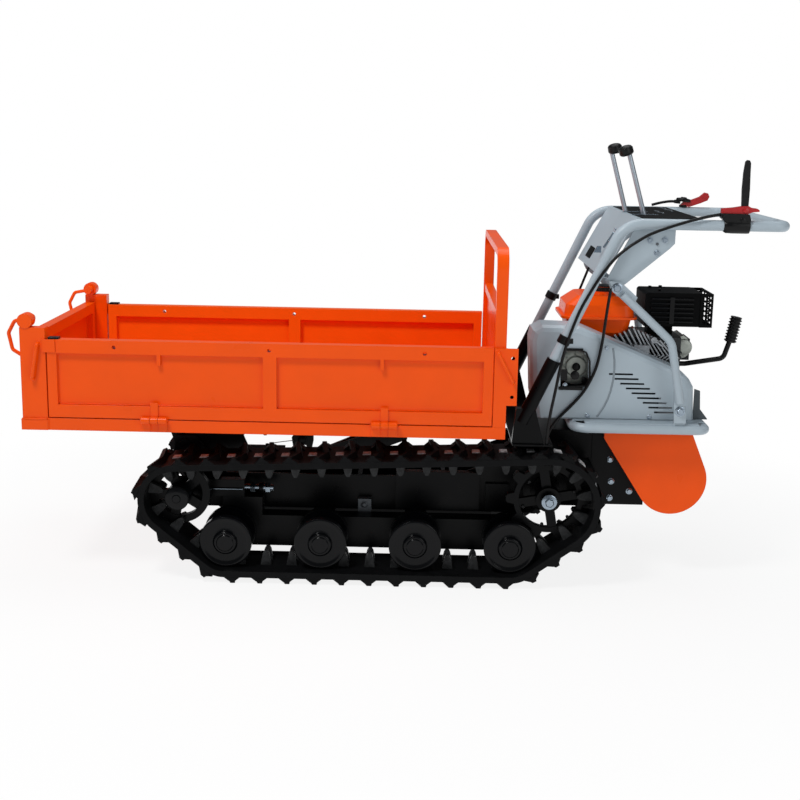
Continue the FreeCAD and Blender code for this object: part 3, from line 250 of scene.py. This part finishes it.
MATS = {}

# Pieces whose finish isn't that of their slot
OWN_FINISH = {
    "muffler": "matt_black",
    "end_plate": "shade_grey",
    # The far board takes the lighter orange copy, painted light
    "side_board_far": "orange_far_painted_light",
    "rollers_near": "gloss_black",
    "rollers_far": "gloss_black",
}


def finish_of(name):
    if name not in MATS:
        MATS[name] = surface(name, **FINISH[name])
    return MATS[name]


class Solid:
    """Collects plain forms in millimetres and becomes one mesh piece."""

    def __init__(self):
        self.bm = bmesh.new()

    def prism(self, points, y0, y1):
        """Outline in X and Z between two Y planes."""
        low = [self.bm.verts.new((x * MM, y0 * MM, z * MM)) for x, z in points]
        high = [self.bm.verts.new((x * MM, y1 * MM, z * MM)) for x, z in points]
        n = len(points)
        self.bm.faces.new(low)
        self.bm.faces.new(high[::-1])
        for i in range(n):
            j = (i + 1) % n
            self.bm.faces.new((low[j], low[i], high[i], high[j]))

    def box(self, x0, x1, y0, y1, z0, z1):
        self.prism([(x0, z0), (x1, z0), (x1, z1), (x0, z1)], y0, y1)

    def turned(self, at, axis, profile, sides=24):
        """A form of revolution: (distance along the axis, radius) rows from at."""
        at = Vector(at)
        axis = Vector(axis).normalized()
        side = axis.orthogonal().normalized()
        other = axis.cross(side)
        rings = []
        for d, r in profile:
            ring = []
            for k in range(sides):
                a = 2 * math.pi * k / sides
                p = at + axis * d + (side * math.cos(a) + other * math.sin(a)) * r
                ring.append(self.bm.verts.new(p * MM))
            rings.append(ring)
        self.bm.faces.new(rings[0][::-1])
        self.bm.faces.new(rings[-1])
        for a, b in zip(rings, rings[1:]):
            for k in range(sides):
                j = (k + 1) % sides
                self.bm.faces.new((a[k], a[j], b[j], b[k]))

    def rod(self, a, b, r, sides=20, ease=0.6):
        """A round bar from a to b with slightly eased ends."""
        a, b = Vector(a), Vector(b)
        n = (b - a).length
        e = min(ease, n / 3, r / 2)
        self.turned(a, b - a, [(0, r - e), (e, r), (n - e, r), (n, r - e)], sides)

    def bolt(self, at, axis, r, washer=True):
        """A hexagon head on its washer, standing on at along the axis."""
        h = r * 0.8
        base = 0.0
        if washer:
            self.turned(at, axis, [(0, r * 1.45), (1.2, r * 1.45), (1.6, r * 1.35)], 24)
            base = 1.4
        a = Vector(axis).normalized() * base
        self.turned(Vector(at) + a, axis, [(0, r), (h * 0.8, r), (h, r * 0.82)], 6)

    def screw(self, at, axis, r):
        """A low round head."""
        self.turned(at, axis, [(0, r), (r * 0.35, r * 0.95), (r * 0.6, r * 0.6), (r * 0.68, r * 0.2)], 16)

    def swept(self, points, r, sides=10):
        """A thin round bead along a chain of points."""
        pts = [Vector(p) for p in points]
        n = len(pts)
        rings = []
        for i, p in enumerate(pts):
            a = pts[i - 1] if i else p
            b = pts[i + 1] if i < n - 1 else p
            d = (b - a).normalized()
            up = Vector((0, 1, 0)) if abs(d.y) < 0.9 else Vector((0, 0, 1))
            side = d.cross(up).normalized()
            other = d.cross(side)
            ring = []
            for k in range(sides):
                turn = 2 * math.pi * k / sides
                spoke = (side * math.cos(turn) + other * math.sin(turn)) * r
                ring.append(self.bm.verts.new((p + spoke) * MM))
            rings.append(ring)
        for a, b in zip(rings, rings[1:]):
            for k in range(sides):
                j = (k + 1) % sides
                self.bm.faces.new((a[k], a[j], b[j], b[k]))
        self.bm.faces.new(rings[0][::-1])
        self.bm.faces.new(rings[-1])

    def mirror(self):
        """Adds the same forms on the other side of the plane Y 0."""
        geom = self.bm.verts[:] + self.bm.edges[:] + self.bm.faces[:]
        copy = bmesh.ops.duplicate(self.bm, geom=geom)["geom"]
        verts = [v for v in copy if isinstance(v, bmesh.types.BMVert)]
        faces = [f for f in copy if isinstance(f, bmesh.types.BMFace)]
        for v in verts:
            v.co.y = -v.co.y
        bmesh.ops.reverse_faces(self.bm, faces=faces)

    def piece(self, name, finish, body):
        """The finished piece, riding on a body."""
        bmesh.ops.recalc_face_normals(self.bm, faces=self.bm.faces[:])
        for f in self.bm.faces:
            f.smooth = True
        for e in self.bm.edges:
            if len(e.link_faces) == 2 and e.calc_face_angle() > SHARP_ANGLE:
                e.smooth = False
        mesh = bpy.data.meshes.new(name)
        self.bm.to_mesh(mesh)
        self.bm.free()
        mesh.materials.append(finish_of(finish))
        obj = bpy.data.objects.new(name, mesh)
        bpy.context.scene.collection.objects.link(obj)
        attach(obj, body)
        return obj


def paint_frame():
    """Gives every CAD piece the procedural finish of its slot, or its own."""
    slots = {s["node"]: s["material_slot"] for s in frame["record"]["subparts"]}
    for node, obj in frame["nodes"].items():
        obj.data.materials.clear()
        obj.data.materials.append(finish_of(OWN_FINISH.get(node, slots[node])))


# Lower and upper end of the stems' line, X and Z
STEM = ((423.0, 618.0), (592.0, 984.0))


def on_stem(z):
    """X of the stems' line at the height z."""
    (x0, z0), (x1, z1) = STEM
    return x0 + (z - z0) * (x1 - x0) / (z1 - z0)


def fasteners():
    """Bolts of the gussets, the side cover, the guards and the sprockets."""
    s = Solid()
    for x, z in ((662.5, 942), (701.4, 943), (682.6, 909)):
        s.bolt((x, -270.7, z), (0, -1, 0), 5.6)
    s.bolt((583, -278, 815), (0, -1, 0), 10)
    s.bolt((767.7, -278, 489), (0, -1, 0), 9.5)
    s.mirror()
    for x, z in ((528, 462), (696, 461), (464, 545), (571, 648)):
        s.bolt((x, -228, z), (0, -1, 0), 4.5)
    for x, z in ((613, 313), (619, 249), (671.6, 221), (616.6, 200)):
        s.bolt((x, -120, z), (0, -1, 0), 6.5)
    s.piece("zinc_bolts", "zinc", "machine")
    s = Solid()
    x, z, _ = SPROCKET
    for side in (-1, 1):
        s.turned((x, side * 291.5, z), (0, side, 0), [(0, 21), (2, 21), (3, 19.5)], 32)
        s.bolt((x, side * 294, z), (0, side, 0), 12.5, washer=False)
    s.piece("hub_bolts", "zinc", "machine")
    s = Solid()
    s.bolt((682, -270.7, 932), (0, -1, 0), 4, washer=False)
    s.mirror()
    s.piece("gusset_plugs", "dull_grey", "machine")


def loop_places(count, shift, offset, sink=0):
    """Evenly spaced places on the track's outer face, or sink below it: X, Z and the outward angle."""
    wheels = [(x, z, r - sink) for x, z, r in (IDLER, FRONT_ROLLER, BACK_ROLLER, SPROCKET)]
    ways = []
    for i, (x0, z0, r0) in enumerate(wheels):
        x1, z1, r1 = wheels[(i + 1) % 4]
        run = math.hypot(x1 - x0, z1 - z0)
        ways.append(math.atan2(z1 - z0, x1 - x0) - math.acos((r0 - r1) / run))
    legs = []
    for i, (x, z, r) in enumerate(wheels):
        a0, a1 = ways[i - 1], ways[i]
        while a1 < a0:
            a1 += 2 * math.pi
        legs.append((r * (a1 - a0), x, z, r, a0, None))
        x1, z1, r1 = wheels[(i + 1) % 4]
        c, d = math.cos(a1), math.sin(a1)
        p, q = (x + r * c, z + r * d), (x1 + r1 * c, z1 + r1 * d)
        legs.append((math.dist(p, q), *p, 0, a1, q))
    total = sum(leg[0] for leg in legs)
    out = []
    for k in range(count):
        t = total * ((k + shift) % count) / count
        for size, x, z, r, a, q in legs:
            if t <= size:
                if q is None:
                    a += t / r
                    x, z = x + r * math.cos(a), z + r * math.sin(a)
                else:
                    x, z = x + (q[0] - x) * t / size, z + (q[1] - z) * t / size
                out.append((x + offset * math.cos(a), z + offset * math.sin(a), a))
                break
            t -= size
    return out


def on_track(place, outline):
    """X and Z of an outline given as heights outward and distances along the track."""
    x, z, a = place
    c, d = math.cos(a), math.sin(a)
    return [(x + c * h - d * g, z + d * h + c * g) for h, g in outline]


def track_cores():
    """Bare ends of the metal cores in the track, between the lugs, in a pale diffuse steel whose colour
    also paints in their sheen.
    """
    s = Solid()
    for place in loop_places(LUG_COUNT, 0.05, -1.0):
        s.prism(on_track(place, ((0, -12), (0, 12), (4, 10), (4, -10))), -262, -234)
    s.mirror()
    s.piece("track_cores", "worn_steel_and_painted_sheen", "machine")


def lug_flanks():
    """Low rubber shoulders round the outer ends of the lugs."""
    s = Solid()
    for place in loop_places(LUG_COUNT, 0.5, -1.0):
        for y0, y1, mid in ((-339.4, -300, 20), (-200, -160.6, 12)):
            outline = ((0, mid - 23), (0, mid + 23), (11, mid + 9), (11, mid - 9))
            s.prism(on_track(place, outline), y0, y1)
    s.mirror()
    s.piece("lug_flanks", "track_rubber", "machine")


def guide_blocks():
    """Worn rubber blocks over the guide horns on the track's inner face."""
    s = Solid()
    outline = ((0, -15), (0, 15), (-30, 9), (-39, 4), (-39, -4), (-30, -9))
    for place in loop_places(LUG_COUNT, 0.5, 0, sink=BAND):
        for y in (-272, -228):
            s.prism(on_track(place, outline), y - 7.6, y + 7.6)
    s.mirror()
    s.piece("guide_blocks", "worn_rubber", "machine")


def running_gear():
    """Side bracket, wheel caps and tension screws, with a thin rod of painted edge highlight on each
    tensioner fork.
    """
    s = Solid()
    s.box(-95, -58, -146, -121, 152, 188)
    s.bolt((-77, -146, 172), (0, -1, 0), 7)
    s.piece("side_bracket", "dull_grey", "machine")
    s = Solid()
    dish = [(0, 71.4), (2.2, 71), (3.6, 69), (3.8, 65), (3.0, 61.5), (1.4, 59), (0.6, 50), (0.8, 40),
            (2.2, 34), (6, 31.5), (9, 30), (10.4, 28), (10.6, 25.5)]
    for x in ROLLER_X:
        s.turned((x, -305.6, 105), (0, -1, 0), dish, 48)
        s.turned((x, -315.6, 105), (0, -1, 0), [(0, 23.6), (2.4, 23), (4, 21), (4.2, 8)], 32)
        s.screw((x - 8, -316, 131), (0, -1, 0), 4)
    x, z, _ = IDLER
    s.turned((x, -309.6, z), (0, -1, 0), [(0, 32), (3, 31), (5, 27), (5.4, 12), (8, 10)], 32)
    x, z, _ = SPROCKET
    for k in range(6):
        a = 2 * math.pi * (k + 0.3) / 6
        s.bolt((x + 72 * math.cos(a), -260.6, z + 72 * math.sin(a)), (0, -1, 0), 5, washer=False)
    s.mirror()
    s.piece("wheel_caps", "gloss_black", "machine")
    s = Solid()
    # A thin bright rod along the tensioner fork's outer face: a painted highlight of the fork's edge
    s.rod((-520, -199, 224), (-414, -199, 224), 3)
    for x in (-394, -352):
        s.turned((x, -181, 226), (1, 0, 0), [(0, 15), (13, 15)], 6)
    s.rod((-420, -181, 226), (-330, -181, 226), 8.6)
    s.mirror()
    s.piece("tension_screws_and_painted_highlight", "zinc", "machine")


def engine_side():
    """Starter, window frame and seams of the side cover; the seams are darker beads of painted shade."""
    s = Solid()
    x, z = STARTER_X, STARTER_Z
    s.rod((x, -126, z), (x, -172, z), 52)
    s.turned((x, -172, z), (0, -1, 0), [(0, 52), (5, 48), (8, 40), (8.5, 30), (14, 26), (15, 12)], 32)
    for k in range(9):
        a = 2 * math.pi * (k + 0.4) / 9
        c, d = math.cos(a), math.sin(a)
        s.rod((x + 28 * c, -180, z + 28 * d), (x + 44 * c, -177, z + 44 * d), 3, 8)
    s.box(446, 500, -150, -124, 540, 580)
    for x, z, r in ((463, 620, 9), (478, 566, 12), (512, 556, 9), (500, 628, 8)):
        s.turned((x, -150, z), (0, -1, 0), [(-30, r), (12, r), (14, r * 0.7)], 16)
    # The starter case takes the paler alloy, partly painted light against the shade of its recess
    s.piece("starter_case", "pale_alloy_and_painted_light", "machine")
    s = Solid()
    window = [(449, 642), (500, 642), (516, 636), (527, 612), (529, 570), (520, 545), (449, 539)]
    s.swept([(x, -233, z) for x, z in window], 2.6, 10)
    s.turned((STARTER_X, -187, STARTER_Z), (0, -1, 0), [(0, 11), (4, 11), (6, 8)], 20)
    s.rod((520, -182, 552), (520, -196, 552), 8)
    s.box(449, 508, -234, -228.4, 640, 646)
    s.box(447, 512, -234, -228.4, 532, 540)
    s.box(452, 468, -240, -228.4, 560, 588)
    s.turned((489, -228.4, 573), (0, -1, 0), [(0, 12), (6, 12), (8, 9)], 16)
    s.piece("window_frame", "black_plastic", "machine")
    # The cover's seams as thin beads in darker grey: painted shade in the seam lines
    s = Solid()
    chain = [(588, 648), (590, 640), (594, 615), (595, 590), (593, 560), (588, 532), (581, 508), (571, 486),
             (560, 468), (554, 459)]
    s.swept([(x, -226.4, z) for x, z in chain], 3.2, 12)
    s.swept([(410, -227.2, 454.2), (800, -227.2, 454.2)], 1.6, 8)
    s.piece("cover_seam_shade", "painted_seam_shade", "machine")


def valve_side():
    """Head fittings, valve cover and fins at the engine's rear."""
    s = Solid()
    for x, z in ((808, 640), (808, 596), (826, 618)):
        s.bolt((x, -44, z), (0, -1, 0), 4.5)
    s.rod((770, -88, 640), (770, -104, 640), 12)
    s.rod((770, -104, 640), (752, -116, 646), 5)
    s.piece("head_fittings", "dull_grey", "machine")
    s = Solid()
    s.prism([(790, 645), (802, 654.5), (812, 659), (822, 652), (829, 640), (831.9, 622), (829.5, 606),
             (819, 596), (809, 594), (800, 606), (794, 624)], -50, 50)
    s.turned((814, -50, 625), (0, -1, 0), [(0, 24), (4, 23), (6, 20), (6.4, 8)], 28)
    s.piece("valve_cover", "pale_alloy_and_painted_light", "machine")
    s = Solid()
    for k in range(12):
        x = 652 + k * 12.4
        top = 688 - abs(k - 4) * 5.5
        s.prism([(x, 603), (x + 4, 603), (x - 40, top), (x - 44, top - 3)], -112, -78)
    for k in range(6):
        x = 700 + k * 12.5
        s.prism([(x, 598), (x + 4.4, 598), (x + 22, 612), (x + 17.6, 612)], -118, -78)
    s.box(663, 705, -124, -100, 618, 640)
    s.rod((716, -104, 655), (716, -126, 655), 9)
    s.rod((722, -118, 650), (742, -118, 636), 4)
    s.piece("cylinder_fins", "aluminium", "machine")


def tank_trim():
    """Fuel cap with its grip ribs."""
    s = Solid()
    s.turned((CAP_X, CAP_Y, 771), (0, 0, 1), [(0, 36), (15, 36), (18, 33), (21.5, 33.6)], 36)
    for k in range(24):
        a = 2 * math.pi * k / 24
        x, y = CAP_X + 35 * math.cos(a), CAP_Y + 35 * math.sin(a)
        s.rod((x, y, 775), (x, y, 788), 2.2, 8)
    s.turned((CAP_X, CAP_Y, 790), (0, 0, 1), [(0, 20), (3, 18), (5, 6)], 24)
    s.piece("tank_cap", "black_plastic", "machine")


def muffler_trim():
    """Slats and bolts on the muffler."""
    s = Solid()
    for k in range(6):
        z = 704 + k * 12.5
        s.rod((704, -112, z + 2), (822, -112, z + 2), 3.4, 10)
    s.box(756, 768, -116.5, -111.6, 700, 774)
    for x, y in ((735, -60), (720, 10), (752, 24)):
        s.bolt((x, y, 785), (0, 0, 1), 5)
    s.piece("muffler_slats", "gloss_black", "machine")


def controls():
    """Clutch, throttle, drive levers and shift lever in their own finishes."""
    s = Solid()
    s.prism([(838.5, 1016), (838.5, 1028), (870, 1031), (890, 1034.6), (906, 1035.4), (914, 1031),
             (928, 1029.4), (934, 1026), (934.6, 1021.4), (916, 1019.5), (902, 1013), (890, 1015)],
            -295, -277)
    s.turned((899, -295, 1024.5), (0, -1, 0), [(0, 8), (2, 8), (2.6, 6.5)], 20)
    red = s.piece("clutch_bracket", "red_paint", "machine")
    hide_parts("clutch")
    s = Solid()
    s.turned((846, -285, 984), (1, 0, 0), [(0, 15), (6, 19), (22, 20), (60, 20), (66, 19.5), (67, 15)], 28)
    s.prism([(838.5, 1004), (839.5, 1016), (893, 1015.6), (909, 1014), (912, 1002), (912, 984), (866, 982),
             (852, 992)], -302, -270)
    s.rod((838.5, -292, 1009), (852, -292, 1006), 5.5)
    s.turned((893, -302, 1000), (0, -1, 0), [(0, 7), (1.6, 7), (2.6, 5)], 20)
    s.piece("clutch_housing", "black_plastic", "machine")
    s = Solid()
    s.prism([(889.5, 1033), (906.5, 1033), (907, 1078), (905.5, 1118), (905, 1144), (901.5, 1150.5),
             (896, 1151.5), (891.5, 1147), (888.5, 1120), (887.5, 1078)], -290, -280)
    s.piece("clutch_blade", "black_plastic", "machine")
    s = Solid()
    s.prism([(846, 1003), (872, 998.5), (906, 1010.5), (926, 1019), (931, 1030), (926.5, 1040), (918, 1042),
             (903, 1029), (880, 1020), (858, 1016)], 276, 294)
    arm = s.piece("throttle_arm", "red_paint", "machine")
    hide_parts("throttle")
    s = Solid()
    s.turned((855, 285, 998.4), (0, 0, 1), [(0, 12), (6, 12)], 20)
    s.turned((855, 285, 1014), (0.12, 0, 1), [(0, 21), (5, 22.5), (9, 20), (11, 9), (13.5, 8)], 28)
    s.rod((828, 285, 1014.2), (846, 285, 1012.4), 5.6)
    s.piece("throttle_pivot", "black_plastic", "machine")
    s = Solid()
    for x0, z0, x1, z1, y in ((636, 1004, 589, 1168, 0), (671, 991, 618, 1168, -120)):
        t = (988 - z0) / (z1 - z0)
        s.rod((x0 + (x1 - x0) * t, y, 988), (x1 + 3, y, z1 - 10), 6.5)
        s.box(x0 + (x1 - x0) * t - 6, x0 + (x1 - x0) * t + 48, y - 22, y + 22, 989.4, 993)
    rods = s.piece("lever_rods", "chrome_rod", "machine")
    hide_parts("drive_levers")
    s = Solid()
    for x, z, y, tilt in ((599.4, 1171, 0, -0.204), (611.3, 1167.5, -120, -0.321)):
        up = Vector((tilt, 0, 1)).normalized()
        s.turned(Vector((x, y, z)) - up * 14.5, up, [(0, 11), (1.5, 15), (5, 19), (9, 19.6),
                                                     (20, 19.6), (25, 16), (27.6, 10), (28.6, 3)], 32)
    s.piece("lever_knobs", "black_plastic", "machine")
    s = Solid()
    a, b = Vector((930.5, -100, 651)), Vector((944, -100, 721))
    d = (b - a).normalized()
    rows = [(0, 12)]
    for k in range(8):
        t = 1.5 + k * 8.4
        rows += [(t, 13.6), (t + 1, 17.4), (t + 3.8, 17.4), (t + 4.8, 13.6)]
    rows += [(70, 16), (72, 14.5)]
    s.turned(a, d, rows, 24)
    s.piece("shift_grip", "black_plastic", "machine")


def console_trim():
    """Slot plate, lever guides, tabs, a dark plate of painted shade in the port, choke rod and stem clamps.
    """
    s = Solid()
    for x0, x1, y0, y1 in ((641, 798, -256, -129.5), (641, 798, -110.5, -9.5), (641, 798, 9.5, 256),
                           (708, 798, -129.5, -110.5), (701, 798, -9.5, 9.5)):
        s.prism([(x0, 996.7), (x1, 996.7), (x1, 998.2), (x0, 998.2)], y0, y1)
    s.piece("slot_plate", "matt_black", "machine")
    s = Solid()
    for x, y in ((664.5, 0), (672, -120)):
        for dy in (-9.2, 7.7):
            s.box(x - 33, x + 36, y + dy, y + dy + 1.5, 994, 999.2)
    s.swept([(726, 34, 999), (731, 0, 999), (722, -30, 999), (732, -60, 999), (726, -95, 999)], 2.4, 8)
    s.swept([(770, 194, 999), (778, 150, 999), (768, 110, 999), (778, 60, 999), (770, 6, 999)], 2.4, 8)
    s.piece("slot_guides", "zinc", "machine")
    s = Solid()
    s.rod((604, -66, 932), (604, -66, 956), 5.5)
    s.bolt((589, -64, 919), (0, -1, 0), 5.5)
    s.rod((598, -66, 944), (572, -66, 902), 2.6)
    s.prism([(545, 889), (553, 907), (565, 907), (565, 889)], -76, -73)
    s.piece("console_tabs", "zinc", "machine")
    # A dark plate inside the port: painted shade where the opening shows dark
    s = Solid()
    s.prism([(552.6, 858), (568.5, 888), (569.9, 887.2), (554, 857.2)], 78, 168)
    s.piece("port_shade_plate", "matt_black", "machine")
    s = Solid()
    s.rod((565, 100, 853), (524, 100, 740), 3.6)
    s.piece("choke_rod", "black_plastic", "machine")
    s = Solid()
    for y, z in ((-285, 676.6), (285, 721.8)):
        d = Vector((STEM[1][0] - STEM[0][0], 0, STEM[1][1] - STEM[0][1])).normalized()
        at = Vector((on_stem(z), y, z))
        s.turned(at - d * 11, d, [(0, 15.5), (1, 17.5), (21, 17.5), (22, 15.5)], 24)
        s.box(at.x + 12, at.x + 23, y - 7, y + 7, z - 9, z + 4)
    s.piece("stem_clamps", "black_plastic", "machine")


def under_bed():
    """Dark fittings under the bed between the tracks, as far as they show."""
    s = Solid()
    s.prism([(-566, 404), (-436, 404), (-427, 362), (-405, 312), (-400, 300), (-566, 300)], -104, -98)
    s.box(-420, -306, -106, -94, 311, 327)
    s.bolt((-357, -100, 326), (0, 0, 1), 5.5)
    s.prism([(-293, 338), (-284, 350), (-264, 358), (-240, 420), (-232, 420), (-230, 330), (-237, 296),
             (-248, 296), (-251, 316), (-262, 318), (-268, 294), (-286, 294)], -48, -36)
    s.turned((-263, -48, 333), (0, -1, 0), [(0, 12), (5, 12), (7, 9)], 20)
    s.prism([(-232, 303), (-87, 352), (-60, 420), (20, 420), (40, 352), (40, 344), (-57, 306)], -66, -60)
    s.piece("bed_fittings", "black_paint", "bed")
    s = Solid()
    s.swept([(-352, -100, 331), (-330, -88, 333), (-300, -60, 331), (-284, -48, 330)], 1.2, 8)
    s.piece("bed_wire", "zinc", "bed")


def bed_trim():
    """Weld beads, hinge ends, board plates and board stops."""
    s = Solid()
    for x in HINGE_X:
        for side in (-1, 1):
            s.turned((x + side * 34, 359, 452), (side, 0, 0), [(0, 5.5), (1.6, 5), (2.2, 3)], 16)
        for a, b in ((-33, -12), (12, 33)):
            s.swept([(x + a, 350.6, 421.5), (x + b, 350.6, 421.5)], 2.0, 8)
    s.swept([(-974, 352.6, 449), (-955, 352.9, 449.4), (-930, 352.8, 448.8), (-908, 352.6, 449.2)], 2.2, 8)
    s.swept([(-905, 350.4, 420), (-905, 350.4, 449)], 1.8, 8)
    s.mirror()
    s.piece("bed_welds", "orange_paint", "bed")
    for side, name in ((-1, "near"), (1, "far")):
        s = Solid()
        y0, y1 = sorted((side * 350.3, side * 353.0))
        s.box(-914, -880, y0, y1, 627, 661)
        for x in HINGE_X:
            low, high = side * 352.4, side * 352.6
            s.swept([(x - 11, low, 495), (x, high, 497), (x + 11, low, 495)], 2.0, 8)
        for a, b in ((-876, -341), (-300, 236)):
            s.swept([(a, side * 341.5, 489.6), (b, side * 341.5, 489.6)], 1.6, 8)
        s.piece("board_plates_" + name, "orange_paint", "board_" + name)
        s = Solid()
        y0, y1 = sorted((side * 347, side * 326))
        s.box(-900, -872, y0, y1, 661, 666)
        s.piece("board_stop_" + name, "black_plastic", "board_" + name)


camera()
studio()
bpy.context.scene.view_settings.view_transform = "Standard"
soft_light("key", (-1.5, -1.9, 3.7), (0, 0, 0.4), 0.9, 84)
soft_light("fill", (2.6, -3.2, 1.8), (0.1, 0, 0.5), 2.2, 26)
soft_light("top", (0.3, 0.6, 3.6), (0, 0, 0.3), 2.4, 46)
soft_light("rim", (-3.2, 0.8, 1.2), (0, 0, 0.4), 1.6, 14)

paint_frame()
fasteners()
running_gear()
track_cores()
lug_flanks()
guide_blocks()
engine_side()
valve_side()
tank_trim()
muffler_trim()
controls()
console_trim()
under_bed()
bed_trim()

bpy.ops.mesh.primitive_plane_add(size=FLOOR_SIZE, location=(0, 0, FLOOR_Z))
floor = bpy.context.object
floor.name = "floor"
floor.data.materials.append(floor_finish())
